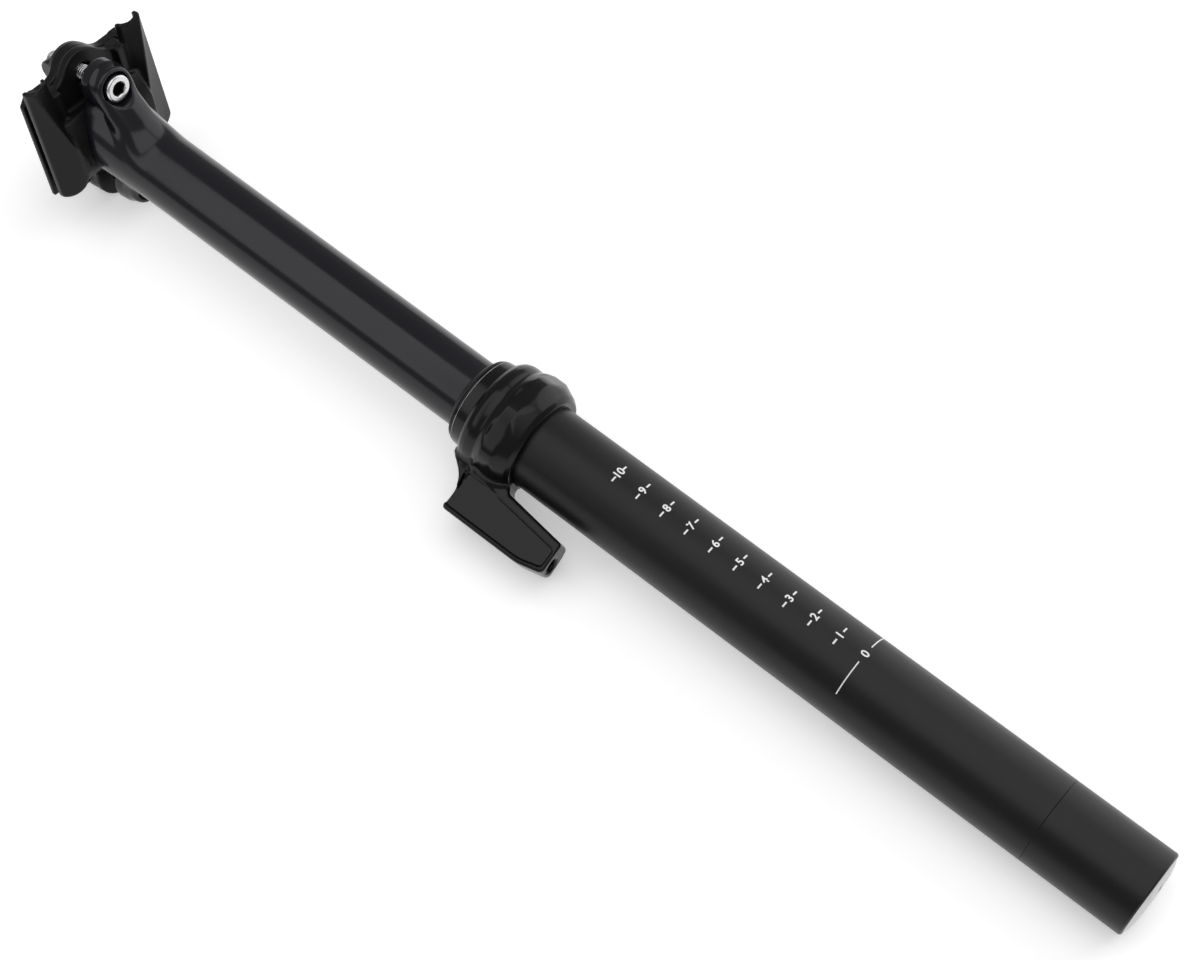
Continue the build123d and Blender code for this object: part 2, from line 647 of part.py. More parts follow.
# Pull strip from the lever down to the rocker
rocker_reach = ROCKER_PIVOT + ROCKER_NOSE_PLACE
strip_pull = LEVER_ARM * radians(LEVER_SWING)
rocker_swing = strip_pull / rocker_reach
rocker_nose_height = ROCKER_HEIGHT - rocker_reach * sin(rocker_swing / 2)
lever_slot_low = inner_end[1] - LEVER_NOSE - SLOT_GAP
lever_slot_high = inner_end[1] + LEVER_NOSE + PULL_GAP
rocker_slot_low = rocker_nose_height - ROCKER_NOSE - PULL_GAP
rocker_slot_high = rocker_nose_height + ROCKER_NOSE + SLOT_GAP
strip_slot = LEVER_THICKNESS + 2 * SLOT_GAP
strip_low = rocker_slot_low - STRIP_END
strip_high = lever_slot_high + STRIP_END
with BuildPart() as pull_strip:
    with BuildSketch(polar_plane(ARM_AZIMUTH, strip_low)):
        with Locations((STRIP_PLACE + STRIP_THICKNESS / 2, 0)):
            Rectangle(STRIP_THICKNESS, STRIP_WIDTH)
    extrude(amount=strip_high - strip_low)
    for slot_low, slot_high in ((lever_slot_low, lever_slot_high), (rocker_slot_low, rocker_slot_high)):
        with BuildSketch(polar_plane(ARM_AZIMUTH, slot_low)):
            with Locations((STRIP_PLACE, 0)):
                Rectangle(2 * (STRIP_THICKNESS + OVERRUN), strip_slot)
        extrude(amount=slot_high - slot_low, mode=Mode.SUBTRACT)
keep(pull_strip, "pull_strip")

# Base that carries the cartridge rod and the rocker's lugs
base_radius = cap_bore - SEAT_GAP
lug_inner = ROCKER_WIDTH / 2 + SLOT_GAP
lug_place = lug_inner + LUG_THICKNESS / 2
lug_low = ROCKER_HEIGHT - LUG_FOOT
with BuildPart() as actuator_base:
    with BuildSketch(Plane.XY.offset(base_low)):
        Circle(base_radius)
    extrude(amount=BASE_HEIGHT)
    with BuildSketch(polar_plane(ARM_AZIMUTH, lug_low)):
        with Locations((-ROCKER_PIVOT, lug_place), (-ROCKER_PIVOT, -lug_place)):
            Rectangle(LUG_WIDTH, LUG_THICKNESS)
    extrude(amount=base_low - lug_low)
    with BuildSketch(Plane.XY.offset(base_low)):
        Circle(ROD_TAIL_RADIUS + SEAT_GAP)
    extrude(amount=BASE_HEIGHT, mode=Mode.SUBTRACT)
    with BuildSketch(polar_plane(ARM_AZIMUTH, base_low)):
        with Locations((STRIP_PLACE + OVERRUN - SLOT_GAP / 2, 0)):
            Rectangle(2 * OVERRUN, strip_clear_width)
    extrude(amount=BASE_HEIGHT, mode=Mode.SUBTRACT)
    with BuildSketch(ARM_PLANE.offset(-LUG_WIDTH)):
        with Locations((-ROCKER_PIVOT, ROCKER_HEIGHT)):
            Circle(ROCKER_PIN_RADIUS + SEAT_GAP)
    extrude(amount=2 * LUG_WIDTH, mode=Mode.SUBTRACT)
keep(actuator_base, "actuator_base")

rocker_pin_length = 2 * (lug_inner + LUG_THICKNESS)
with BuildPart() as rocker_pin:
    with BuildSketch(ARM_PLANE.offset(-rocker_pin_length / 2)):
        with Locations((-ROCKER_PIVOT, ROCKER_HEIGHT)):
            Circle(ROCKER_PIN_RADIUS)
    extrude(amount=rocker_pin_length)
keep(rocker_pin, "rocker_pin")

# Rocker that lifts the valve pin by less than the strip's pull
rocker_mid = ROCKER_HEIGHT - ROCKER_PIVOT * sin(rocker_swing / 2)
pad_top = rocker_mid + ROCKER_HUB - ROCKER_NOSE / 2
with BuildPart() as rocker:
    with BuildSketch(ARM_PLANE.offset(-ROCKER_WIDTH / 2)):
        with Locations((-ROCKER_PIVOT, ROCKER_HEIGHT)):
            Circle(ROCKER_HUB)
        with Locations((ROCKER_NOSE_PLACE, rocker_nose_height)):
            Circle(ROCKER_NOSE)
        with BuildLine():
            Polyline([
                (-ROCKER_PIVOT, ROCKER_HEIGHT + ROCKER_HUB), (-ROCKER_PAD_REAR, pad_top), (ROCKER_PAD, pad_top),
                (ROCKER_NOSE_PLACE, rocker_nose_height + ROCKER_NOSE),
                (ROCKER_NOSE_PLACE, rocker_nose_height - ROCKER_NOSE),
                (-ROCKER_PIVOT, ROCKER_HEIGHT - ROCKER_HUB),
            ], close=True)
        make_face()
    extrude(amount=ROCKER_WIDTH)
    with BuildSketch(ARM_PLANE.offset(-ROCKER_WIDTH)):
        with Locations((-ROCKER_PIVOT, ROCKER_HEIGHT)):
            Circle(ROCKER_PIN_RADIUS + RUN_GAP)
    extrude(amount=2 * ROCKER_WIDTH, mode=Mode.SUBTRACT)
keep(rocker, "rocker")

# Valve pin with its button, and the spring that sets it back
button_low = pad_top + BUTTON_GAP
button_top = button_low + VALVE_BUTTON_HEIGHT
with BuildPart() as valve_pin:
    with BuildSketch(Plane.XY.offset(button_low)):
        Circle(VALVE_BUTTON)
    extrude(amount=VALVE_BUTTON_HEIGHT)
    with BuildSketch(Plane.XY.offset(button_low)):
        Circle(VALVE_RADIUS)
    extrude(amount=rod_top - OVERRUN - VALVE_END_GAP - button_low)
keep(valve_pin, "valve_pin")

spring_room = nut_low - button_top - 2 * SEAT_GAP
spring_height = spring_room - SPRING_WIRE
spring_pitch = spring_height / SPRING_TURNS
print("valve spring: least gap between turns", round(spring_pitch - SPRING_WIRE, 3))
with BuildPart() as valve_spring:
    with BuildLine() as coil:
        Helix(spring_pitch, spring_height, SPRING_RADIUS,
              center=(0, 0, button_top + SEAT_GAP + SPRING_WIRE / 2))
    with BuildSketch(Plane(origin=coil.line @ 0, z_dir=coil.line % 0)):
        Circle(SPRING_WIRE / 2)
    sweep(is_frenet=True)
keep(valve_spring, "valve_spring")

# Cartridge rod, hollow for the valve pin, and its nut
with BuildPart() as cartridge_rod:
    with BuildSketch(Plane.XY.offset(base_top)):
        Circle(ROD_RADIUS)
    extrude(amount=rod_top - base_top)
    with BuildSketch(Plane.XY.offset(nut_low)):
        Circle(ROD_TAIL_RADIUS)
    extrude(amount=base_top - nut_low)
    with BuildSketch(Plane.XY.offset(nut_low)):
        Circle(ROD_BORE)
    extrude(amount=rod_top - nut_low - OVERRUN, mode=Mode.SUBTRACT)
keep(cartridge_rod, "cartridge_rod")

with BuildPart() as rod_nut:
    with BuildSketch(Plane.XY.offset(nut_low)):
        RegularPolygon(ROD_NUT_FLATS / 2, 6, major_radius=False)
        Circle(ROD_TAIL_RADIUS + SEAT_GAP, mode=Mode.SUBTRACT)
    extrude(amount=ROD_NUT_HEIGHT)
keep(rod_nut, "rod_nut")

# Rubber bumper under the inner post
with BuildPart() as bottom_bumper:
    with BuildSketch(Plane.XY.offset(base_top + SEAT_GAP)):
        Circle(BUMPER_RADIUS)
        Circle(BUMPER_BORE, mode=Mode.SUBTRACT)
    extrude(amount=BUMPER_HEIGHT)
keep(bottom_bumper, "bottom_bumper")

# Piston and its seal on the top of the rod
seal_groove_low = piston_low + (PISTON_HEIGHT - PISTON_SEAL_HEIGHT) / 2
piston_radius = cylinder_bore - RUN_GAP
with BuildPart() as piston:
    with BuildSketch(Plane.XY.offset(piston_low)):
        Circle(piston_radius)
    extrude(amount=PISTON_HEIGHT)
    with BuildSketch(Plane.XY.offset(piston_low)):
        Circle(ROD_RADIUS + SEAT_GAP)
    extrude(amount=rod_top - piston_low + SEAT_GAP, mode=Mode.SUBTRACT)
    with BuildSketch(Plane.XY.offset(seal_groove_low)):
        Circle(piston_radius + OVERRUN)
        Circle(piston_radius - PISTON_SEAL_DEPTH, mode=Mode.SUBTRACT)
    extrude(amount=PISTON_SEAL_HEIGHT, mode=Mode.SUBTRACT)
keep(piston, "piston")

with BuildPart() as piston_seal:
    with BuildSketch(Plane.XY.offset(seal_groove_low + SEAT_GAP)):
        Circle(cylinder_bore - SEAT_GAP)
        Circle(piston_radius - PISTON_SEAL_DEPTH + SEAT_GAP, mode=Mode.SUBTRACT)
    extrude(amount=PISTON_SEAL_HEIGHT - 2 * SEAT_GAP)
keep(piston_seal, "piston_seal")

# Cartridge cylinder, gland, rod seal and lock nut
gas_cap_low = bore_top - GAS_CAP_FLANGE - GAS_CAP_DEPTH - SEAT_GAP
cylinder_high = bore_top - GAS_CAP_FLANGE - 2 * SEAT_GAP
with BuildPart() as cartridge_cylinder:
    with BuildSketch(Plane.XY.offset(cylinder_low)):
        Circle(CYLINDER_RADIUS)
        Circle(cylinder_bore, mode=Mode.SUBTRACT)
    extrude(amount=cylinder_high - cylinder_low)
keep(cartridge_cylinder, "cartridge_cylinder")

gland_low = cylinder_low - GLAND_FLANGE
gland_top = cylinder_low + GLAND_DEPTH
rod_seal_low = gland_top - ROD_SEAL_HEIGHT
with BuildPart() as cartridge_gland:
    with BuildSketch(Plane.XY.offset(gland_low)):
        Circle(CYLINDER_RADIUS)
    extrude(amount=GLAND_FLANGE - SEAT_GAP)
    with BuildSketch(Plane.XY.offset(gland_low)):
        Circle(cylinder_bore - SEAT_GAP)
    extrude(amount=gland_top - gland_low)
    with BuildSketch(Plane.XY.offset(gland_low)):
        Circle(ROD_RADIUS + RUN_GAP)
    extrude(amount=gland_top - gland_low, mode=Mode.SUBTRACT)
    with BuildSketch(Plane.XY.offset(rod_seal_low)):
        Circle(ROD_RADIUS + ROD_SEAL_WIDTH)
    extrude(amount=ROD_SEAL_HEIGHT, mode=Mode.SUBTRACT)
keep(cartridge_gland, "cartridge_gland")

with BuildPart() as rod_seal:
    with BuildSketch(Plane.XY.offset(rod_seal_low + SEAT_GAP)):
        Circle(ROD_RADIUS + ROD_SEAL_WIDTH - SEAT_GAP)
        Circle(ROD_RADIUS + SEAT_GAP, mode=Mode.SUBTRACT)
    extrude(amount=ROD_SEAL_HEIGHT - SEAT_GAP)
keep(rod_seal, "rod_seal")

with BuildPart() as cartridge_locknut:
    with BuildSketch(Plane.XY.offset(gland_low - SEAT_GAP - LOCKNUT_HEIGHT)):
        Circle(post_bore - SEAT_GAP)
        Circle(LOCKNUT_BORE, mode=Mode.SUBTRACT)
    extrude(amount=LOCKNUT_HEIGHT)
keep(cartridge_locknut, "cartridge_locknut")

with BuildPart() as gas_cap:
    with BuildSketch(Plane.XY.offset(gas_cap_low)):
        Circle(cylinder_bore - SEAT_GAP)
    extrude(amount=GAS_CAP_DEPTH)
    with BuildSketch(Plane.XY.offset(gas_cap_low + GAS_CAP_DEPTH)):
        Circle(CYLINDER_RADIUS)
    extrude(amount=GAS_CAP_FLANGE)
    with BuildSketch(Plane.XY.offset(gas_cap_low)):
        Circle(GAS_CAP_BORE)
    extrude(amount=GAS_CAP_DEPTH + GAS_CAP_FLANGE, mode=Mode.SUBTRACT)
keep(gas_cap, "gas_cap")

# Floating piston that parts the oil from the gas
float_low = gas_cap_low - GAS_LENGTH - FLOAT_HEIGHT
float_groove_low = float_low + (FLOAT_HEIGHT - PISTON_SEAL_HEIGHT) / 2
with BuildPart() as floating_piston:
    with BuildSketch(Plane.XY.offset(float_low)):
        Circle(piston_radius)
    extrude(amount=FLOAT_HEIGHT)
    with BuildSketch(Plane.XY.offset(float_groove_low)):
        Circle(piston_radius + OVERRUN)
        Circle(piston_radius - PISTON_SEAL_DEPTH, mode=Mode.SUBTRACT)
    extrude(amount=PISTON_SEAL_HEIGHT, mode=Mode.SUBTRACT)
keep(floating_piston, "floating_piston")

with BuildPart() as float_seal:
    with BuildSketch(Plane.XY.offset(float_groove_low + SEAT_GAP)):
        Circle(cylinder_bore - SEAT_GAP)
        Circle(piston_radius - PISTON_SEAL_DEPTH + SEAT_GAP, mode=Mode.SUBTRACT)
    extrude(amount=PISTON_SEAL_HEIGHT - 2 * SEAT_GAP)
keep(float_seal, "float_seal")

# Guide keys and lower bushing on the inner post
key_floor = post_radius - KEY_DEPTH
with BuildPart() as guide_keys:
    for azimuth in key_azimuths:
        with BuildSketch(polar_plane(azimuth, key_low + SEAT_GAP)):
            with Locations(((key_floor + key_outer) / 2, 0)):
                Rectangle(key_outer - key_floor, KEY_WIDTH)
        extrude(amount=KEY_LENGTH - 2 * SEAT_GAP)
keep(guide_keys, "guide_keys")

bushing_seat_low = post_bottom + LOWER_BUSHING_SEAT
with BuildPart() as lower_bushing:
    with BuildSketch(polar_plane(ARM_AZIMUTH, bushing_seat_low + SEAT_GAP)):
        Circle(tube_bore - RUN_GAP)
        Circle(post_radius - LOWER_BUSHING_RECESS + SEAT_GAP, mode=Mode.SUBTRACT)
        with Locations((post_radius, 0)):
            Rectangle(post_radius, strip_clear_width, mode=Mode.SUBTRACT)
    extrude(amount=LOWER_BUSHING_LENGTH - 2 * SEAT_GAP)
keep(lower_bushing, "lower_bushing")

# Inner post forged in one with its head
head_clear = -HEAD_FACE + OVERRUN
with BuildPart() as inner_post:
    with BuildSketch(Plane.XY.offset(neck_start)):
        Circle(post_radius)
    with BuildSketch(CLAMP_PLANE.offset(NECK_DROP)):
        with Locations((NECK_SHIFT, 0)):
            Ellipse(NECK_LONG, NECK_WIDE)
    with BuildSketch(CLAMP_PLANE.offset(SHOULDER_DROP)):
        with Locations((SHOULDER_SHIFT, 0)):
            Ellipse(SHOULDER_LONG, SHOULDER_WIDE)
    with BuildSketch(CLAMP_PLANE.offset(HEAD_TOP)):
        Ellipse(HEAD_LONG, HEAD_WIDE)
    loft()
    for place in (bolt_offset, -bolt_offset):
        with BuildSketch(Plane.XY.offset(neck_start)):
            Circle(post_radius - SEAT_GAP)
        with BuildSketch(CLAMP_PLANE.offset(SPINE_TOP)):
            with Locations((place, 0)):
                Circle(BOSS_RADIUS - SEAT_GAP)
        loft()
        with BuildSketch(CLAMP_PLANE.offset(HEAD_FACE)):
            with Locations((place, 0)):
                Circle(BOSS_RADIUS)
        extrude(amount=BOSS_TOP - HEAD_FACE)
    with BuildSketch(Plane.XY.offset(post_bottom)):
        Circle(post_radius)
    extrude(amount=post_length)
    with BuildSketch(CLAMP_PLANE.offset(HEAD_FACE)):
        with Locations((bolt_offset, 0), (-bolt_offset, 0)):
            Circle(BOLT_RADIUS + BOLT_HOLE_GAP)
    extrude(amount=head_clear, mode=Mode.SUBTRACT)
    with BuildSketch(CLAMP_PLANE.offset(HEAD_FACE - COUNTERBORE_LEAD)):
        with Locations((bolt_offset, 0), (-bolt_offset, 0)):
            Circle(COUNTERBORE_RADIUS)
    extrude(amount=COUNTERBORE_DEPTH + COUNTERBORE_LEAD, mode=Mode.SUBTRACT)
    with BuildSketch(SIDE_PLANE.offset(-WEB_WIDTH)):
        with Locations((0, SADDLE_AXIS)):
            Circle(SADDLE_RADIUS)
    extrude(amount=2 * WEB_WIDTH, mode=Mode.SUBTRACT)
    with BuildSketch(Plane.XY.offset(post_bottom)):
        Circle(post_bore)
    extrude(amount=bore_top - post_bottom, mode=Mode.SUBTRACT)
    with BuildSketch(Plane.XY.offset(bushing_seat_low)):
        Circle(post_radius + OVERRUN)
        Circle(post_radius - LOWER_BUSHING_RECESS, mode=Mode.SUBTRACT)
    extrude(amount=LOWER_BUSHING_LENGTH, mode=Mode.SUBTRACT)
    for azimuth in key_azimuths:
        with BuildSketch(polar_plane(azimuth, key_low)):
            with Locations((post_radius, 0)):
                Rectangle(2 * (KEY_DEPTH + SEAT_GAP), KEY_WIDTH + 2 * SEAT_GAP)
        extrude(amount=KEY_LENGTH, mode=Mode.SUBTRACT)
keep(inner_post, "inner_post")

# Lower cradle: it rocks in the head's saddle and holds the rails from below
tilt_slide = (SADDLE_AXIS - EAR_TOP + EAR_THICKNESS) * sin(radians(TILT_RANGE))
horn_level = RAIL_LEVEL - RAIL_PINCH
horn_reach = rail_radius + HORN_WALL
cradle_radius = SADDLE_RADIUS - RUN_GAP
half_web = WEB_LENGTH / 2
web_side = cradle_radius * cos(asin(half_web / cradle_radius))
ear_low = EAR_TOP - EAR_THICKNESS
wing_in = WEB_WIDTH / 2 - WING_SEAM
wing_out = rail_offset + horn_reach


def wing_section(place, keel_side, keel_depth, low_side):
    """The wing's outline across the rail at one place along it: (plane, points)."""
    at = Plane(origin=clamp_centre + forward * place, x_dir=(0, 1, 0), z_dir=forward)
    outline = [
        (wing_in, horn_level), (wing_out, horn_level), (wing_out, horn_level - WING_SIDE_DEPTH),
        (keel_side, horn_level - keel_depth), (low_side, horn_level - WING_SIDE_DEPTH),
    ]
    return at, outline


wing_sections = (
    wing_section(WING_REAR, wing_out - HORN_WALL, WING_TAIL_DEPTH, wing_in + HORN_WALL / 2),
    wing_section(0, rail_offset - WING_KEEL_INSET, WING_KEEL_DEPTH, wing_in - HORN_WALL),
    wing_section(WING_FRONT, rail_offset - WING_FRONT_INSET, WING_FRONT_DEPTH, wing_in),
)
with BuildPart() as lower_cradle:
    for at, outline in wing_sections:
        with BuildSketch(at):
            with BuildLine():
                Polyline(outline, close=True)
            make_face()
    loft(ruled=True)
    mirror(about=Plane.XZ)
    with BuildSketch(SIDE_PLANE.offset(-WEB_WIDTH / 2)):
        with BuildLine():
            ThreePointArc((-half_web, SADDLE_AXIS - web_side), (0, SADDLE_AXIS - cradle_radius),
                          (half_web, SADDLE_AXIS - web_side))
            Polyline((half_web, SADDLE_AXIS - web_side), (half_web, EAR_TOP),
                     (-half_web, EAR_TOP), (-half_web, SADDLE_AXIS - web_side))
        make_face()
    extrude(amount=WEB_WIDTH)
    with BuildSketch(CLAMP_PLANE.offset(EAR_TOP - SIDE_RAIL_DEPTH)):
        with Locations(((WEB_REAR + WING_FRONT) / 2, (WEB_WIDTH - SIDE_RAIL_WIDTH) / 2),
                       ((WEB_REAR + WING_FRONT) / 2, (SIDE_RAIL_WIDTH - WEB_WIDTH) / 2)):
            Rectangle(WING_FRONT - WEB_REAR, SIDE_RAIL_WIDTH)
    extrude(amount=SIDE_RAIL_DEPTH)
    with BuildSketch(CLAMP_PLANE.offset(ear_low)) as ear_plate:
        with Locations(((WEB_REAR + WING_FRONT) / 2, 0)):
            Rectangle(WING_FRONT - WEB_REAR, WEB_WIDTH)
        with Locations((bolt_offset, 0), (-bolt_offset, 0)):
            Circle(EAR_RADIUS)
        fillet(ear_plate.vertices().filter_by_position(Axis.Y, -EAR_RADIUS, EAR_RADIUS), EAR_BLEND)
    extrude(amount=EAR_THICKNESS)
    with BuildSketch(CLAMP_PLANE.offset(ear_low)):
        with Locations((bolt_offset, 0), (-bolt_offset, 0)):
            SlotCenterToCenter(2 * tilt_slide, 2 * (BOLT_RADIUS + BOLT_HOLE_GAP))
    extrude(amount=EAR_THICKNESS, mode=Mode.SUBTRACT)
    with BuildSketch(Plane(origin=clamp_centre + forward * (WING_REAR - OVERRUN), x_dir=(0, 1, 0), z_dir=forward)):
        with Locations((rail_offset, RAIL_LEVEL), (-rail_offset, RAIL_LEVEL)):
            Circle(rail_radius)
    extrude(amount=WING_FRONT - WING_REAR + 2 * OVERRUN, mode=Mode.SUBTRACT)
keep(lower_cradle, "lower_cradle")

# Upper clamp plate with the seats of the barrel nuts
upper_low = EAR_TOP + EAR_GAP
upper_in = WEB_WIDTH / 2 + EAR_GAP
upper_half = upper_in + UPPER_SHELF
upper_middle = (UPPER_REAR + UPPER_FRONT) / 2
upper_length = UPPER_FRONT - UPPER_REAR
with BuildPart() as upper_clamp:
    with BuildSketch(CLAMP_PLANE.offset(upper_low)) as upper_plate:
        with Locations((upper_middle, 0)):
            Rectangle(upper_length, 2 * upper_half)
        with Locations((bolt_offset, 0), (-bolt_offset, 0)):
            Circle(UPPER_EAR_RADIUS)
        fillet(upper_plate.vertices().filter_by_position(Axis.Y, -EAR_RADIUS, EAR_RADIUS), EAR_BLEND)
    extrude(amount=UPPER_PLATE)
    with BuildSketch(Plane(origin=clamp_centre + forward * UPPER_REAR, x_dir=(0, 1, 0), z_dir=forward)):
        for side in (1, -1):
            with BuildLine():
                Polyline([
                    (side * upper_in, UPPER_BOTTOM), (side * wing_out, UPPER_BOTTOM),
                    (side * wing_out, UPPER_BOTTOM + UPPER_EDGE), (side * upper_half, upper_low + UPPER_PLATE),
                    (side * upper_in, upper_low + UPPER_PLATE),
                ], close=True)
            make_face()
    extrude(amount=upper_length)
    with BuildSketch(CLAMP_PLANE.offset(upper_low)):
        with Locations((bolt_offset, 0), (-bolt_offset, 0)):
            Circle(UPPER_EAR_RADIUS)
    extrude(amount=UPPER_EAR_THICKNESS)
    with BuildSketch(SIDE_PLANE.offset(-WEB_WIDTH / 2)):
        with Locations((bolt_offset, nut_level), (-bolt_offset, nut_level)):
            Circle(NUT_RADIUS + RUN_GAP)
    extrude(amount=WEB_WIDTH, mode=Mode.SUBTRACT)
    with BuildSketch(CLAMP_PLANE.offset(upper_low)):
        with Locations((bolt_offset, 0), (-bolt_offset, 0)):
            SlotCenterToCenter(2 * tilt_slide, 2 * (BOLT_RADIUS + BOLT_HOLE_GAP))
    extrude(amount=UPPER_EAR_THICKNESS, mode=Mode.SUBTRACT)
    with BuildSketch(Plane(origin=clamp_centre + forward * (WING_REAR - OVERRUN), x_dir=(0, 1, 0), z_dir=forward)):
        with Locations((rail_offset, RAIL_LEVEL), (-rail_offset, RAIL_LEVEL)):
            Circle(rail_radius)
    extrude(amount=WING_FRONT - WING_REAR + 2 * OVERRUN, mode=Mode.SUBTRACT)
keep(upper_clamp, "upper_clamp")

# Clamp bolts, their washers and barrel nuts, at the rear and the front
counterbore_floor = HEAD_FACE + COUNTERBORE_DEPTH
washer_low = counterbore_floor - SEAT_GAP - WASHER_THICKNESS
bolt_seat = washer_low - SEAT_GAP
with BuildPart() as bolt_washers:
    with BuildSketch(CLAMP_PLANE.offset(washer_low)):
        with Locations((bolt_offset, 0), (-bolt_offset, 0)):
            Circle(WASHER_RADIUS)
            Circle(BOLT_RADIUS + RUN_GAP, mode=Mode.SUBTRACT)
    extrude(amount=WASHER_THICKNESS)
keep(bolt_washers, "bolt_washers")

for end, place in (("rear", -bolt_offset), ("front", bolt_offset)):
    with BuildPart() as clamp_bolt:
        with BuildSketch(CLAMP_PLANE.offset(bolt_seat)):
            with Locations((place, 0)):
                Circle(BOLT_HEAD_RADIUS)
        extrude(amount=-BOLT_HEAD_HEIGHT)
        chamfer(clamp_bolt.edges().sort_by(clamp_axis)[0], OVERRUN / 2)
        with BuildSketch(CLAMP_PLANE.offset(bolt_seat - OVERRUN)):
            with Locations((place, 0)):
                Circle(BOLT_RADIUS)
        extrude(amount=BOLT_LENGTH + OVERRUN)
        with BuildSketch(CLAMP_PLANE.offset(bolt_seat - BOLT_HEAD_HEIGHT)):
            with Locations((place, 0)):
                RegularPolygon(BOLT_HEX / 2, 6, major_radius=False)
        extrude(amount=BOLT_HEX_DEPTH, mode=Mode.SUBTRACT)
    keep(clamp_bolt, f"{end}_bolt")

    with BuildPart() as barrel_nut:
        with BuildSketch(SIDE_PLANE.offset(-NUT_LENGTH / 2)):
            with Locations((place, nut_level)):
                Circle(NUT_RADIUS)
        extrude(amount=NUT_LENGTH)
        with BuildSketch(CLAMP_PLANE.offset(nut_level - NUT_LENGTH)):
            with Locations((place, 0)):
                Circle(BOLT_RADIUS + BOLT_HOLE_GAP)
        extrude(amount=2 * NUT_LENGTH, mode=Mode.SUBTRACT)
    keep(barrel_nut, f"{end}_barrel_nut")
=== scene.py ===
"""A dropper seatpost, dressed over its packed construction and laid on pale ground.

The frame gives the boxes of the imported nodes, and each sub-assembly holds its own
sizes. Lengths in this file are millimetres, and meshes are written in metres. +Z
runs up the post, +X points to the front of the saddle and +Y to the side of the
cable arm.
"""
from __future__ import annotations

import json
import logging
import math
from dataclasses import dataclass
from enum import Enum
from typing import Callable, Optional, Sequence

import bmesh
import bpy
import numpy as np
from mathutils import Matrix, Vector


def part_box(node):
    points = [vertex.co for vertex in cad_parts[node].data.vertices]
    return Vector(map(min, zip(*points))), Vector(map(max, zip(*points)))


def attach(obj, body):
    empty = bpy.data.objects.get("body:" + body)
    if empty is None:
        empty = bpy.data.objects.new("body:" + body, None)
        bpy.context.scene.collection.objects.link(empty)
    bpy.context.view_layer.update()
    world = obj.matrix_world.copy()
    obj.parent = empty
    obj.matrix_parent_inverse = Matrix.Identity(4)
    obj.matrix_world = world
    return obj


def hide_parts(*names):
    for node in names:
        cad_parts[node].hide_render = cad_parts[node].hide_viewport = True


LOG = logging.getLogger("seatpost")
MM = 0.001
QUARTER = 90.0  # a quarter turn, in degrees
TURN_STEPS = 192  # segments round a turned piece
TUBE_RADIUS = 15.45  # the outer tube
SEAM = 0.03  # the gap that shows between two pieces
FACE = 0.42  # the faces on castings and forgings
TINY = 1e-6  # a length too small to count
NEARLY = 1e-9  # keeps a root away from nought
WELD = 1e-7  # corners nearer than this, in metres, are one
PAINTED_SOCKET_SHADE = "socket_shade"  # the attribute that paints shade into a bolt's socket

Points = Sequence[tuple[float, float]]
Outline = list[tuple[float, float]]
Colour = tuple[float, float, float, float]
Distance = Callable[[np.ndarray], np.ndarray]


class Body(Enum):
    """The moving bodies that the pieces ride on."""

    OUTER = "outer"
    POST = "post"
    CLAMP = "clamp"
    REAR_BOLT = "rear_bolt"
    FRONT_BOLT = "front_bolt"
    REAR_NUT = "rear_nut"
    FRONT_NUT = "front_nut"


def grey(level: float) -> Colour:
    """A neutral colour of one level."""
    return (level, level, level, 1.0)


# Node graphs: one wrapper for a socket and one for a tree


class Signal:
    """A node's output that takes part in arithmetic; each operator adds its Math node."""

    def __init__(self, graph: "Graph", socket: bpy.types.NodeSocket) -> None:
        """Wraps an output of a graph's node."""
        self.graph = graph
        self.socket = socket

    def _maths(self, operation: str, first: object, second: object = None) -> "Signal":
        """Adds a Math node.

        Args:
            operation: The node's operation.
            first: Its first value, a Signal or a number.
            second: Its second value, where it has one.
        Returns:
            The node's result.
        """
        values = {0: first} if second is None else {0: first, 1: second}
        return self.graph.node("ShaderNodeMath", {"operation": operation}, values).out("Value")

    def __add__(self, other: object) -> "Signal":
        """Sum."""
        return self._maths("ADD", self, other)

    def __sub__(self, other: object) -> "Signal":
        """Difference."""
        return self._maths("SUBTRACT", self, other)

    def __rsub__(self, other: object) -> "Signal":
        """Difference from a number."""
        return self._maths("SUBTRACT", other, self)

    def __mul__(self, other: object) -> "Signal":
        """Product."""
        return self._maths("MULTIPLY", self, other)

    def __truediv__(self, other: object) -> "Signal":
        """Quotient."""
        return self._maths("DIVIDE", self, other)

    def __rtruediv__(self, other: object) -> "Signal":
        """Quotient of a number."""
        return self._maths("DIVIDE", other, self)

    __radd__ = __add__
    __rmul__ = __mul__

    def sine(self) -> "Signal":
        """Its sine."""
        return self._maths("SINE", self)

    def cosine(self) -> "Signal":
        """Its cosine."""
        return self._maths("COSINE", self)

    def larger(self, other: object) -> "Signal":
        """The larger of the two."""
        return self._maths("MAXIMUM", self, other)


class Made:
    """A node that was added to a graph."""

    def __init__(self, graph: "Graph", node: bpy.types.Node) -> None:
        """Wraps a graph's node."""
        self.graph = graph
        self.node = node

    def out(self, name: object = 0) -> Signal:
        """One of its outputs, by name or place."""
        return Signal(self.graph, self.node.outputs[name])


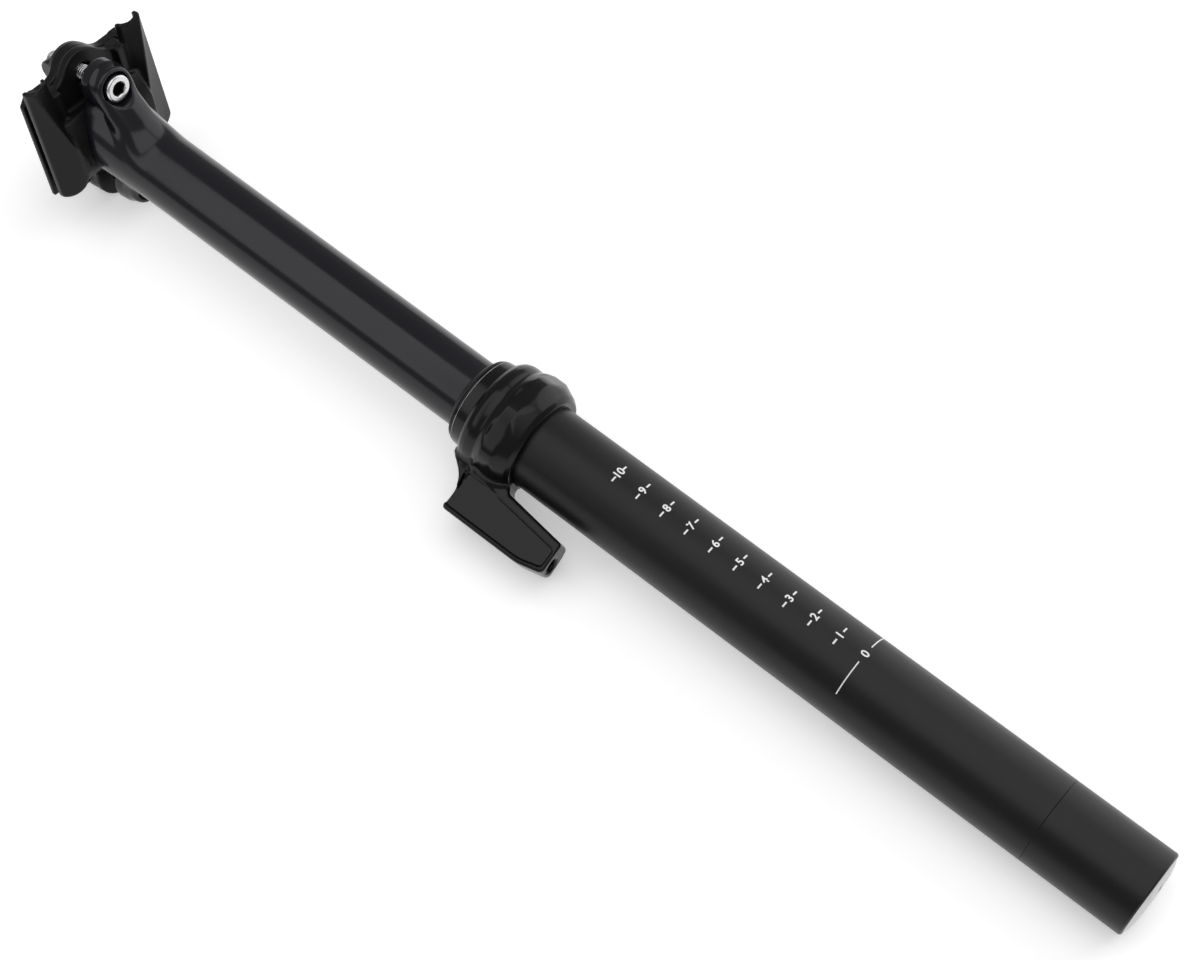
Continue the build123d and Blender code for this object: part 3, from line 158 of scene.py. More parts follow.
class Graph:
    """A node tree with one method that adds any node."""

    def __init__(self, tree: bpy.types.NodeTree) -> None:
        """Wraps a node tree."""
        self.tree = tree

    def node(self, kind: str, settings: Optional[dict] = None, values: Optional[dict] = None) -> Made:
        """Adds a node.

        Args:
            kind: The node's type.
            settings: Its properties, set first.
            values: What its sockets take: links or numbers, by name or place.
        Returns:
            The node.
        """
        made = self.tree.nodes.new(kind)
        for key, value in (settings or {}).items():
            setattr(made, key, value)
        for key, value in (values or {}).items():
            if isinstance(value, Signal):
                self.tree.links.new(value.socket, made.inputs[key])
            else:
                made.inputs[key].default_value = value
        return Made(self, made)


def emptied(holder: bpy.types.ID) -> bpy.types.NodeTree:
    """The node tree of a new material or world, with no nodes in it.

    Args:
        holder: The material or world.
    Returns:
        Its node tree.
    """
    holder.use_nodes = True
    holder.node_tree.nodes.clear()
    return holder.node_tree


class Shade(Graph):
    """The shading graph of one material, on Object coordinates."""

    MIX_FIRST, MIX_SECOND, MIX_RESULT = 6, 7, 2  # a Mix node's colour sockets
    WORN_EDGE = (0.52, 0.6)  # the pointiness from which an edge wears, and where it is bare

    def __init__(self, name: str) -> None:
        """Starts a material.

        Args:
            name: The material's name.
        """
        self.material = bpy.data.materials.new(name)
        super().__init__(emptied(self.material))
        self.place = self.node("ShaderNodeTexCoord").out("Object")

    def noise(self, size: float, detail: float = 2.0, stretch: tuple = (1.0, 1.0, 1.0)) -> Signal:
        """Noise whose lumps are about so large.

        Args:
            size: The lumps' size in millimetres.
            detail: How many finer octaves it has.
            stretch: Scales of the pattern along X, Y and Z.
        Returns:
            A value from 0 to 1.
        """
        place = self.node("ShaderNodeMapping", {}, {"Vector": self.place, "Scale": stretch}).out()
        values = {"Vector": place, "Scale": 1 / (size * MM), "Detail": detail}
        return self.node("ShaderNodeTexNoise", {"noise_dimensions": "3D"}, values).out(0)

    def ramp(self, value: Signal, low: float, high: float) -> Signal:
        """The value spread from 0 at low to 1 at high, clamped."""
        values = {"Value": value, "From Min": low, "From Max": high, "To Min": 0.0, "To Max": 1.0}
        return self.node("ShaderNodeMapRange", {"clamp": True}, values).out("Result")

    def blend(self, factor: Signal, first: object, second: object) -> Signal:
        """A colour between two others."""
        values = {0: factor, self.MIX_FIRST: first, self.MIX_SECOND: second}
        return self.node("ShaderNodeMix", {"data_type": "RGBA"}, values).out(self.MIX_RESULT)

    def radius(self) -> Signal:
        """The distance from the post's axis, in millimetres.

        Returns:
            The distance.
        """
        flat = self.node("ShaderNodeVectorMath", {"operation": "MULTIPLY"},
                         {0: self.place, 1: (1 / MM, 1 / MM, 0.0)}).out("Vector")
        return self.node("ShaderNodeVectorMath", {"operation": "LENGTH"}, {0: flat}).out("Value")

    def height(self) -> Signal:
        """The height along the post, in millimetres."""
        return self.node("ShaderNodeSeparateXYZ", {}, {0: self.place}).out("Z") / MM

    def edges(self) -> Signal:
        """1 where the surface is a worn outer edge."""
        return self.ramp(self.node("ShaderNodeNewGeometry").out("Pointiness"), *self.WORN_EDGE)

    def bumps(self, layers: Sequence[tuple[Signal, float]]) -> Signal:
        """Stacks bump layers.

        Args:
            layers: A height from 0 to 1 and its depth in millimetres, for each layer.
        Returns:
            The normal.
        """
        normal: Optional[Signal] = None
        for height, depth in layers:
            values = {"Height": height, "Distance": depth * MM, "Strength": 1.0}
            if normal is not None:
                values["Normal"] = normal
            normal = self.node("ShaderNodeBump", {}, values).out("Normal")
        return normal

    def finish(self, fixed: dict, varied: dict) -> bpy.types.Material:
        """Ends the graph in a Principled shader.

        Args:
            fixed: Sockets with one value all over.
            varied: Sockets that follow the surface.
        Returns:
            The material.
        """
        shader = self.node("ShaderNodeBsdfPrincipled", {}, {**fixed, **varied})
        self.node("ShaderNodeOutputMaterial", {}, {"Surface": shader.out("BSDF")})
        return self.material


# Finishes


@dataclass(frozen=True)
class Anodised:
    """Black anodised aluminium: a dyed oxide skin over a blasted or turned surface."""

    name: str
    dye: float
    roughness: float
    grain: float
    grain_depth: float
    turned_pitch: float = 0.0
    turned_depth: float = 0.0
    edge_wear: float = 0.25
    blueness: float = 1.0
    sheen: float = 0.5
    cloud_size: float = 26.0
    cloud_share: float = 0.6
    darkest: tuple[float, float] = (0.86, 0.88)
    lightest: tuple[float, float] = (1.16, 1.2)
    wear_size: float = 3.0
    wear_range: tuple[float, float] = (0.35, 0.8)
    worn_level: float = 0.1
    rub_size: float = 9.0
    rub_stretch: float = 0.35
    rub_range: tuple[float, float] = (0.45, 0.75)
    cloud_gloss: float = 0.08
    speck_gloss: float = 0.1
    rub_gloss: float = 0.04
    ring_wander: float = 3.0

    def _dyed(self, shares: tuple[float, float]) -> Colour:
        """The dye at a share of its level, with its own share in the blue."""
        level, blue = shares
        return (self.dye * level, self.dye * level, self.dye * blue * self.blueness, 1.0)

    def make(self) -> bpy.types.Material:
        """The material.

        Returns:
            The material, with its grain, wear and turning marks.
        """
        shade = Shade(self.name)
        cloud = shade.noise(self.cloud_size, detail=3.0)
        speck = shade.noise(self.grain, detail=3.0)
        tone = shade.blend(cloud * self.cloud_share + speck * (1 - self.cloud_share),
                           self._dyed(self.darkest), self._dyed(self.lightest))
        patch = shade.ramp(shade.noise(self.wear_size, detail=4.0), *self.wear_range)
        colour = shade.blend(shade.edges() * patch * self.edge_wear, tone, grey(self.worn_level))
        stretch = (1.0, 1.0, self.rub_stretch)
        rub = shade.ramp(shade.noise(self.rub_size, detail=4.0, stretch=stretch), *self.rub_range)
        roughness = (self.roughness + (cloud - 0.5) * self.cloud_gloss + (speck - 0.5) * self.speck_gloss
                     - rub * self.rub_gloss)
        layers = [(speck, self.grain_depth)]
        if self.turned_pitch:
            phase = shade.height() * (2 * math.pi / self.turned_pitch) + cloud * self.ring_wander
            layers.append((phase.sine() * 0.5 + 0.5, self.turned_depth))
        return shade.finish(
            {"Specular IOR Level": self.sheen, "Metallic": 0.0},
            {"Base Color": colour, "Roughness": roughness, "Normal": shade.bumps(layers)},
        )


@dataclass(frozen=True)
class Metal:
    """Bare machined or plated metal with tool marks and fine scratches, and painted shade in a bolt's socket.
    """

    name: str
    tint: tuple[float, float, float]
    roughness: float
    ring_pitch: float = 0.0
    ring_depth: float = 0.004
    scratch_depth: float = 0.002
    cloud_size: float = 4.0
    fine_size: float = 0.12
    scratch_size: float = 0.5
    scratch_stretch: float = 0.06
    scratch_range: tuple[float, float] = (0.35, 0.7)
    dullness: float = 0.78
    stain_range: tuple[float, float] = (0.5, 0.8)
    stain_share: float = 0.45
    fine_share: float = 0.1
    cloud_gloss: float = 0.12
    fine_gloss: float = 0.08
    # Painted shade in a bolt's socket: its colour, and the roughness that it adds
    hollow_level: float = 0.015
    hollow_gloss: float = 0.3

    def make(self) -> bpy.types.Material:
        """The material.

        Returns:
            The material, with its tool marks and scratches.
        """
        shade = Shade(self.name)
        cloud = shade.noise(self.cloud_size, detail=4.0)
        fine = shade.noise(self.fine_size, detail=3.0)
        stretch = (1.0, 1.0, self.scratch_stretch)
        scratch = shade.ramp(shade.noise(self.scratch_size, detail=4.0, stretch=stretch), *self.scratch_range)
        dull = tuple(level * self.dullness for level in self.tint)
        stain = shade.ramp(cloud, *self.stain_range) * self.stain_share + fine * self.fine_share
        layers = [(scratch, self.scratch_depth), (fine, self.scratch_depth)]
        if self.ring_pitch:
            phase = shade.radius() * (2 * math.pi / self.ring_pitch)
            layers.append((phase.sine() * 0.5 + 0.5, self.ring_depth))
        # Painted shade: the deeper in a bolt's socket, the darker the colour and the duller the gloss
        socket_shade = shade.node("ShaderNodeAttribute", {"attribute_name": PAINTED_SOCKET_SHADE}).out("Fac")
        bare = shade.blend(stain, (*self.tint, 1.0), (*dull, 1.0))
        colour = shade.blend(socket_shade, bare, grey(self.hollow_level))
        roughness = (self.roughness + (cloud - 0.5) * self.cloud_gloss + (fine - 0.5) * self.fine_gloss
                     + socket_shade * self.hollow_gloss)
        return shade.finish(
            {"Metallic": 1.0},
            {"Base Color": colour, "Roughness": roughness, "Normal": shade.bumps(layers)},
        )


@dataclass(frozen=True)
class Moulded:
    """Moulded rubber or bearing plastic, with a dull skin."""

    name: str
    tint: tuple[float, float, float]
    roughness: float
    grain: float = 0.25
    depth: float = 0.01
    cloud_size: float = 5.0
    clean_share: float = 0.85
    dusty_share: float = 1.3
    dust: float = 0.004
    dust_range: tuple[float, float] = (0.4, 0.8)
    cloud_share: float = 0.7
    cloud_gloss: float = 0.14
    grain_gloss: float = 0.08
    sheen: float = 0.4

    def make(self) -> bpy.types.Material:
        """The material.

        Returns:
            The material, with its grain and dust.
        """
        shade = Shade(self.name)
        cloud = shade.noise(self.cloud_size, detail=3.0)
        grain = shade.noise(self.grain, detail=3.0)
        clean = tuple(level * self.clean_share for level in self.tint)
        dusty = tuple(level * self.dusty_share + self.dust for level in self.tint)
        settled = shade.ramp(cloud, *self.dust_range) * self.cloud_share + grain * (1 - self.cloud_share)
        colour = shade.blend(settled, (*clean, 1.0), (*dusty, 1.0))
        roughness = self.roughness + (cloud - 0.5) * self.cloud_gloss + (grain - 0.5) * self.grain_gloss
        return shade.finish(
            {"Specular IOR Level": self.sheen},
            {"Base Color": colour, "Roughness": roughness, "Normal": shade.bumps([(grain, self.depth)])},
        )


@dataclass(frozen=True)
class Ink:
    """White pad-printed ink, slightly uneven over the anodised skin."""

    name: str
    level: float
    roughness: float = 0.5
    speck_size: float = 0.16
    cloud_size: float = 1.6
    thin_range: tuple[float, float] = (0.62, 0.78)
    speck_share: float = 0.5
    cloud_share: float = 0.14
    thin_level: float = 0.55
    speck_gloss: float = 0.2
    depth: float = 0.006

    def make(self) -> bpy.types.Material:
        """The material.

        Returns:
            The material, with its thin spots.
        """
        shade = Shade(self.name)
        speck = shade.noise(self.speck_size, detail=4.0)
        cloud = shade.noise(self.cloud_size, detail=2.0)
        thin = shade.ramp(speck, *self.thin_range) * self.speck_share + cloud * self.cloud_share
        colour = shade.blend(thin, grey(self.level), grey(self.level * self.thin_level))
        roughness = self.roughness + (speck - 0.5) * self.speck_gloss
        return shade.finish(
            {}, {"Base Color": colour, "Roughness": roughness, "Normal": shade.bumps([(speck, self.depth)])},
        )


class Finish(Enum):
    """Every finish on the post, each made once."""

    TUBE = Anodised("tube_satin_black", dye=0.005, roughness=0.38, grain=0.22, grain_depth=0.004,
                    edge_wear=0.1, sheen=0.27)
    POST = Anodised("post_fine_black", dye=0.007, roughness=0.18, grain=0.15, grain_depth=0.001,
                    edge_wear=0.1, blueness=1.4, sheen=0.34)
    COLLAR = Anodised("collar_turned_black", dye=0.0035, roughness=0.2, grain=0.2, grain_depth=0.0012,
                      turned_pitch=0.32, turned_depth=0.0005, edge_wear=0.12, sheen=0.25)
    COVER = Anodised("cover_satin_black", dye=0.006, roughness=0.34, grain=0.18, grain_depth=0.003,
                     edge_wear=0.12, blueness=1.15, sheen=0.28)
    CLAMP = Anodised("clamp_forged_black", dye=0.005, roughness=0.36, grain=0.3, grain_depth=0.006,
                     edge_wear=0.15, sheen=0.22)
    SILVER = Metal("end_face_turned", (0.5, 0.5, 0.51), roughness=0.36, ring_pitch=0.55, ring_depth=0.003)
    ALUMINIUM = Metal("machined_aluminium", (0.74, 0.74, 0.75), roughness=0.3, ring_pitch=0.7,
                      ring_depth=0.004)
    STEEL = Metal("plated_steel", (0.66, 0.66, 0.67), roughness=0.22)
    DARK_STEEL = Metal("black_oxide_steel", (0.045, 0.045, 0.048), roughness=0.38)
    BRASS = Metal("machined_brass", (0.72, 0.52, 0.24), roughness=0.28, ring_pitch=0.6)
    RUBBER = Moulded("seal_rubber", (0.012, 0.012, 0.012), roughness=0.55)
    PLASTIC = Moulded("bushing_plastic", (0.2, 0.19, 0.17), roughness=0.5)
    INK = Ink("white_scale_ink", level=0.93)


MADE: dict[Finish, bpy.types.Material] = {}
FINISH_OF_SLOT = {
    "satin_anodised": Finish.TUBE, "gloss_anodised": Finish.POST, "collar_black": Finish.COLLAR,
    "forged_black": Finish.CLAMP, "bare_aluminium": Finish.ALUMINIUM, "rubber": Finish.RUBBER,
    "bushing_plastic": Finish.PLASTIC, "brass": Finish.BRASS, "steel": Finish.STEEL,
    "steel_black": Finish.DARK_STEEL,
}


def material(finish: Finish) -> bpy.types.Material:
    """The finish's material, made when first asked for.

    Args:
        finish: The finish.
    Returns:
        Its material.
    """
    if finish not in MADE:
        MADE[finish] = finish.value.make()
    return MADE[finish]


# Meshes


def mesh_object(name: str, corners: np.ndarray, faces: Sequence, finish: Finish,
                tidy: bool = True) -> bpy.types.Object:
    """Makes a smooth-shaded object of points in millimetres.

    Args:
        name: The object's name.
        corners: Its points.
        faces: Its faces, as lists of point numbers.
        finish: Its finish.
        tidy: Whether to merge doubles and turn the faces outwards.
    Returns:
        The object, at the origin.
    """
    mesh = bpy.data.meshes.new(name)
    mesh.from_pydata((np.asarray(corners) * MM).tolist(), [], [list(map(int, face)) for face in faces])
    if tidy:
        work = bmesh.new()
        work.from_mesh(mesh)
        bmesh.ops.remove_doubles(work, verts=work.verts, dist=WELD)
        bmesh.ops.recalc_face_normals(work, faces=work.faces)
        work.to_mesh(mesh)
        work.free()
    mesh.polygons.foreach_set("use_smooth", [True] * len(mesh.polygons))
    made = bpy.data.objects.new(name, mesh)
    made.data.materials.append(material(finish))
    bpy.context.scene.collection.objects.link(made)
    return made


def arc(corner: Vector, back: Vector, ahead: Vector, steps: int) -> Outline:
    """The curve that rounds a corner, between a step back from it and a step ahead.

    Args:
        corner: The corner.
        back: The step back from it.
        ahead: The step ahead.
        steps: Segments in the curve.
    Returns:
        The curve's points.
    """
    first, last = corner + back, corner + ahead
    shares = [step / steps for step in range(steps + 1)]
    return [tuple(first.lerp(corner, share).lerp(corner.lerp(last, share), share)) for share in shares]


def rounded(points: Points, radius: float, steps: int = 4, support: float = 0.35) -> Outline:
    """Rounds the corners of a closed outline, apart from straight ones and those on the axis.

    Args:
        points: The outline's corners.
        radius: The corners' radius.
        steps: Segments in each round.
        support: Share of the radius at which a further point holds the flat beside it.
    Returns:
        The rounded outline.
    """
    straight, longest_round, longest_flat = 0.02, 0.42, 0.06  # an angle and shares of the shorter side
    outline: Outline = []
    for index, point in enumerate(points):
        corner = Vector(point)
        back = Vector(points[index - 1]) - corner
        ahead = Vector(points[(index + 1) % len(points)]) - corner
        half = back.angle(ahead) / 2
        if abs(half - math.pi / 2) < straight or corner.x < TINY:
            outline.append(tuple(corner))
            continue
        shorter = min(back.length, ahead.length)
        reach = min(radius / math.tan(half), longest_round * shorter)
        spare = min(support * radius, longest_flat * shorter)
        back, ahead = back.normalized(), ahead.normalized()
        outline.append(tuple(corner + back * reach + back * spare))
        outline += arc(corner, back * reach, ahead * reach, steps)
        outline.append(tuple(corner + ahead * reach + ahead * spare))
    return outline


def eased(corners: Sequence[tuple[float, float, float]], steps: int = 8) -> Outline:
    """Rounds a closed outline whose corners each have their own radius.

    Args:
        corners: Each corner's two coordinates and its radius, nought for a sharp one.
        steps: Segments in each round.
    Returns:
        The rounded outline.
    """
    longest_round = 0.45
    outline: Outline = []
    for index, (across, up, radius) in enumerate(corners):
        corner = Vector((across, up))
        if not radius:
            outline.append(tuple(corner))
            continue
        back = Vector(corners[index - 1][:2]) - corner
        ahead = Vector(corners[(index + 1) % len(corners)][:2]) - corner
        reach = min(radius / math.tan(back.angle(ahead) / 2), longest_round * min(back.length, ahead.length))
        outline += arc(corner, back.normalized() * reach, ahead.normalized() * reach, steps)
    return outline


def raised(points: Points, level: float) -> Outline:
    """An outline's points, whose heights were given from a level."""
    return [(across, level + rise) for across, rise in points]


def lathe(name: str, outline: Points, finish: Finish, steps: int = TURN_STEPS) -> bpy.types.Object:
    """Turns a closed outline of radius and height about the post's axis.

    Args:
        name: The object's name.
        outline: Its outline.
        finish: Its finish.
        steps: Segments round the axis.
    Returns:
        The object.
    """
    corners, faces = turned(outline, steps)
    return mesh_object(name, corners, faces, finish)


def turned(outline: Points, steps: int) -> tuple[np.ndarray, list[list[int]]]:
    """The points and faces of a closed outline turned about Z.

    Args:
        outline: Radii and heights.
        steps: Segments round the axis.
    Returns:
        The points and the faces.
    """
    angles = np.linspace(0, 2 * math.pi, steps, endpoint=False)
    profile = np.array(outline)
    count = len(profile)
    rings = [np.stack([np.cos(angle) * profile[:, 0], np.sin(angle) * profile[:, 0], profile[:, 1]], 1)
             for angle in angles]
    faces = []
    for turn in range(steps):
        after = (turn + 1) % steps
        for index in range(count):
            beside = (index + 1) % count
            if profile[index][0] < TINY and profile[beside][0] < TINY:
                continue
            face = [turn * count + index, after * count + index,
                    after * count + beside, turn * count + beside]
            if profile[index][0] < TINY:
                face.pop(1)
            elif profile[beside][0] < TINY:
                face.pop(2)
            faces.append(face)
    return np.concatenate(rings), faces


# Forms: solids given by their signed distance, skinned as meshes


def soft_least(first: np.ndarray, second: np.ndarray, blend: float) -> np.ndarray:
    """The lesser of two distances, with a fillet of about the blend's size.

    Args:
        first: One distance.
        second: The other.
        blend: The fillet's size.
    Returns:
        The lesser, eased where the two are near.
    """
    if blend <= 0:
        return np.minimum(first, second)
    share = np.clip(0.5 + 0.5 * (second - first) / blend, 0, 1)
    return second * (1 - share) + first * share - blend * share * (1 - share)


class Form:
    """A solid given by its signed distance in millimetres, with joins, cuts and fillets."""

    def __init__(self, distance: Distance) -> None:
        """Makes a form of its distance at points in rows."""
        self.distance = distance

    def join(self, other: "Form", blend: float = 0.0) -> "Form":
        """This form and the other, with a fillet between them."""
        return Form(lambda p: soft_least(self.distance(p), other.distance(p), blend))

    def cut(self, other: "Form", blend: float = 0.0) -> "Form":
        """This form without the other, with a round on the edge."""
        return Form(lambda p: -soft_least(-self.distance(p), other.distance(p), blend))

    def meet(self, other: "Form", blend: float = 0.0) -> "Form":
        """What the two forms share, with a round on the edge."""
        return Form(lambda p: -soft_least(-self.distance(p), -other.distance(p), blend))

    def seen_from(self, place: "Placement") -> "Form":
        """The form, written in a placement's own coordinates, set in the post's frame."""
        return Form(lambda p: self.distance(place.local(p)))


@dataclass(frozen=True)
class Placement:
    """Local axes in the post's frame."""

    origin: Vector
    across: Vector
    aside: Vector
    up: Vector

    def local(self, points: np.ndarray) -> np.ndarray:
        """Points of the post's frame in local coordinates."""
        axes = np.array([self.across, self.aside, self.up]).T
        return (points - np.array(self.origin)) @ axes

    def world(self, points: np.ndarray) -> np.ndarray:
        """Local points in the post's frame."""
        axes = np.array([self.across, self.aside, self.up])
        return np.asarray(points) @ axes + np.array(self.origin)


def slab(axis: int, low: float, high: float) -> Form:
    """The space between two planes square to an axis."""
    return Form(lambda p: np.maximum(low - p[:, axis], p[:, axis] - high))


def rod(axis: int, centre: tuple[float, float], radius: float) -> Form:
    """An endless cylinder along an axis, centred on the other two coordinates."""
    first, second = [index for index in range(3) if index != axis]
    return Form(lambda p: np.hypot(p[:, first] - centre[0], p[:, second] - centre[1]) - radius)


def cylinder(axis: int, centre: tuple[float, float], radius: float, low: float, high: float,
             edge: float) -> Form:
    """A cylinder along an axis, with rounded ends."""
    return rod(axis, centre, radius).meet(slab(axis, low, high), edge)


def block(low: Sequence[float], high: Sequence[float], edge: float) -> Form:
    """A box with rounded edges.

    Args:
        low: Its lowest corner.
        high: Its highest corner.
        edge: The edges' radius.
    Returns:
        The form.
    """
    middle = (np.array(low) + np.array(high)) / 2
    half = (np.array(high) - np.array(low)) / 2 - edge

    def distance(points: np.ndarray) -> np.ndarray:
        """The exact distance of a rounded box.

        Args:
            points: The points, one in each row.
        Returns:
            Their distances.
        """
        away = np.abs(points - middle) - half
        outside = np.linalg.norm(np.maximum(away, 0), axis=1)
        return outside + np.minimum(away.max(axis=1), 0) - edge

    return Form(distance)


def outline_distance(outline: Points, across: np.ndarray, up: np.ndarray) -> np.ndarray:
    """The signed distance of places to a closed outline, in its plane.

    Args:
        outline: The outline's corners.
        across: The places' first coordinates.
        up: Their second coordinates.
    Returns:
        The distances, below nought inside.
    """
    least = TINY ** 2
    corners = np.array(outline)
    nearest = np.full(across.shape, np.inf)
    inside = np.zeros(across.shape, bool)
    for index in range(len(corners)):
        ax, ay = corners[index - 1]
        bx, by = corners[index]
        ex, ey = bx - ax, by - ay
        length = ex * ex + ey * ey
        if length < least:
            continue
        px, py = across - ax, up - ay
        share = np.clip((px * ex + py * ey) / length, 0, 1)
        nearest = np.minimum(nearest, (px - ex * share) ** 2 + (py - ey * share) ** 2)
        if ey:
            crosses = ((ay > up) != (by > up)) & (across < ex * (up - ay) / ey + ax)
            inside ^= crosses
    return np.where(inside, -1.0, 1.0) * np.sqrt(nearest)


def prism(outline: Points, across: int, up: int) -> Form:
    """An endless prism whose outline lies in two of the coordinates."""
    return Form(lambda p: outline_distance(outline, p[:, across], p[:, up]))


def oblong(rear: float, front: float, half: float) -> Form:
    """An endless upright prism with a rectangular outline."""
    return prism([(rear, -half), (front, -half), (front, half), (rear, half)], 0, 1)


def flat_sided(count: int, apothem: float, blend: float) -> Form:
    """An endless upright prism with equal flats all round.

    Args:
        count: How many flats.
        apothem: Their distance from the axis.
        blend: The round between them.
    Returns:
        The form.
    """
    found = None
    for turn in range(count):
        side = compass(turn * 4 * QUARTER / count)
        face = Form(lambda p, s=side: p[:, 0] * s.x + p[:, 1] * s.y - apothem)
        found = face if found is None else found.meet(face, blend)
    return found


def revolved(outline: Points) -> Form:
    """A closed outline of radius and height turned about Z."""
    return Form(lambda p: outline_distance(outline, np.hypot(p[:, 0], p[:, 1]), p[:, 2]))


def skin(name: str, form: Form, low: Sequence[float], high: Sequence[float], pitch: float,
         finish: Finish) -> bpy.types.Object:
    """Skins a form with even small faces that lie on it.

    Args:
        name: The object's name.
        form: The form.
        low: The lowest corner of the space that holds it.
        high: The highest corner.
        pitch: The faces' size.
        finish: The finish.
    Returns:
        The object.
    """
    corners, faces = surface_net(form, np.array(low, float), np.array(high, float), pitch)
    return mesh_object(name, corners, faces, finish, tidy=False)


def skin_node(name: str, node: str, form: Form, pitch: float, finish: Finish) -> bpy.types.Object:
    """Skins a form in a node's box, with a millimetre to spare.

    Args:
        name: The object's name.
        node: The node.
        form: The form.
        pitch: The faces' size.
        finish: The finish.
    Returns:
        The object.
    """
    low, high = extent(node)
    spare = Vector((1, 1, 1))
    return skin(name, form, tuple(low - spare), tuple(high + spare), pitch, finish)


def sampled(form: Form, low: np.ndarray, high: np.ndarray, pitch: float, chunk: int = 8,
            spare: float = 1.5) -> np.ndarray:
    """The form's distances on a grid, worked out only in the chunks that the surface may cross.

    Args:
        form: The form.
        low: The grid's lowest corner.
        high: Its highest corner.
        pitch: The grid's step.
        chunk: Steps along a chunk.
        spare: How much nearer than a chunk's reach still counts.
    Returns:
        The distances.
    """
    chunks = np.ceil((high - low) / pitch / chunk).astype(int)
    middles = [low[i] + pitch * (chunk * np.arange(chunks[i]) + (chunk - 1) / 2) for i in range(3)]
    centres = np.stack(np.meshgrid(*middles, indexing="ij"), -1).reshape(-1, 3)
    coarse = form.distance(centres).reshape(chunks)
    reach = 0.5 * math.sqrt(3) * chunk * pitch + spare
    value = np.repeat(np.repeat(np.repeat(coarse, chunk, 0), chunk, 1), chunk, 2)
    near = np.abs(value) < reach
    places = np.argwhere(near) * pitch + low
    value[near] = form.distance(places)
    return value


def surface_net(form: Form, low: np.ndarray, high: np.ndarray,
                pitch: float) -> tuple[np.ndarray, np.ndarray]:
    """One point in each grid cell that the surface crosses, joined by quads and drawn onto it.

    Args:
        form: The form.
        low: The lowest corner of the grid.
        high: Its highest corner.
        pitch: The cells' size.
    Returns:
        The points and the quads.
    """
    value = sampled(form, low, high, pitch)
    inside = value < 0
    n = np.array(value.shape)
    corner_steps = [(i, j, k) for i in (0, 1) for j in (0, 1) for k in (0, 1)]
    total = sum(inside[i:n[0] - 1 + i, j:n[1] - 1 + j, k:n[2] - 1 + k].astype(np.int8)
                for i, j, k in corner_steps)
    cells = np.argwhere((total > 0) & (total < len(corner_steps)))
    number = np.full(n - 1, -1, np.int64)
    number[tuple(cells.T)] = np.arange(len(cells))
    place = np.zeros((len(cells), 3))
    hits = np.zeros(len(cells))
    for first in corner_steps:
        for axis in range(3):
            if first[axis]:
                continue
            second = tuple(1 if index == axis else first[index] for index in range(3))
            a = value[tuple((cells + first).T)]
            b = value[tuple((cells + second).T)]
            crossed = (a < 0) != (b < 0)
            share = np.where(crossed, a / np.where(crossed, a - b, 1.0), 0.0)
            spot = np.array(first, float) + np.outer(share, np.eye(3)[axis])
            place += np.where(crossed[:, None], spot, 0.0)
            hits += crossed
    points = low + pitch * (cells + place / hits[:, None])
    faces = []
    for axis in range(3):
        u, v = (axis + 1) % 3, (axis + 2) % 3
        here = np.moveaxis(inside, (axis, u, v), (0, 1, 2))
        grid = np.moveaxis(number, (axis, u, v), (0, 1, 2))
        i, j, k = np.nonzero(here[:-1, 1:-1, 1:-1] != here[1:, 1:-1, 1:-1])
        quad = np.stack([grid[i, j, k], grid[i, j + 1, k], grid[i, j + 1, k + 1], grid[i, j, k + 1]], 1)
        outward = here[i, j + 1, k + 1]
        faces.append(np.where(outward[:, None], quad, quad[:, ::-1]))
    return drawn_on(form, points, pitch), np.concatenate(faces)


def drawn_on(form: Form, points: np.ndarray, pitch: float) -> np.ndarray:
    """Points moved along the form's slope until they lie on its surface.

    Args:
        form: The form.
        points: The points.
        pitch: The faces' size.
    Returns:
        The moved points.
    """
    step, rounds, least_steep = 0.02, 4, 0.2
    for _ in range(rounds):
        here = form.distance(points)
        slope = [form.distance(points + step * axis) - here for axis in np.eye(3)]
        slope = np.stack(slope, 1) / step
        steep = np.maximum((slope ** 2).sum(1), least_steep)
        shift = np.clip(-here / steep, -pitch / 2, pitch / 2)
        points = points + shift[:, None] * slope
    return points


# Places read from the frame


def extent(node: str) -> tuple[Vector, Vector]:
    """A node's lowest and highest corners, in millimetres."""
    low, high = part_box(node)
    return Vector(low) / MM, Vector(high) / MM


def compass(azimuth: float) -> Vector:
    """The level direction that points to an azimuth in degrees."""
    turn = math.radians(azimuth)
    return Vector((math.cos(turn), math.sin(turn), 0.0))


def place_piece(piece: bpy.types.Object, body: Body, slot: str, *nodes: str) -> None:
    """Sets a finished piece on its body and in place of its nodes.

    Args:
        piece: The piece.
        body: Its body.
        slot: Its material slot; not used.
        nodes: The nodes that it replaces, if any.
    """
    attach(piece, body.value)
    if nodes:
        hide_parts(*nodes)
    LOG.info("%s: %d faces on %s", piece.name, len(piece.data.polygons), body.value)


def joined(name: str, pieces: Sequence[bpy.types.Object]) -> bpy.types.Object:
    """Joins finished meshes into one object.

    Args:
        name: The new object's name.
        pieces: The meshes, which are used up.
    Returns:
        The object.
    """
    work = bmesh.new()
    for piece in pieces:
        work.from_mesh(piece.data)
    mesh = bpy.data.meshes.new(name)
    work.to_mesh(mesh)
    work.free()
    mesh.polygons.foreach_set("use_smooth", [True] * len(mesh.polygons))
    mesh.materials.append(pieces[0].data.materials[0])
    for piece in pieces:
        bpy.data.objects.remove(piece)
    made = bpy.data.objects.new(name, mesh)
    bpy.context.scene.collection.objects.link(made)
    return made


# Geometry Nodes: the parts that repeat or follow a path


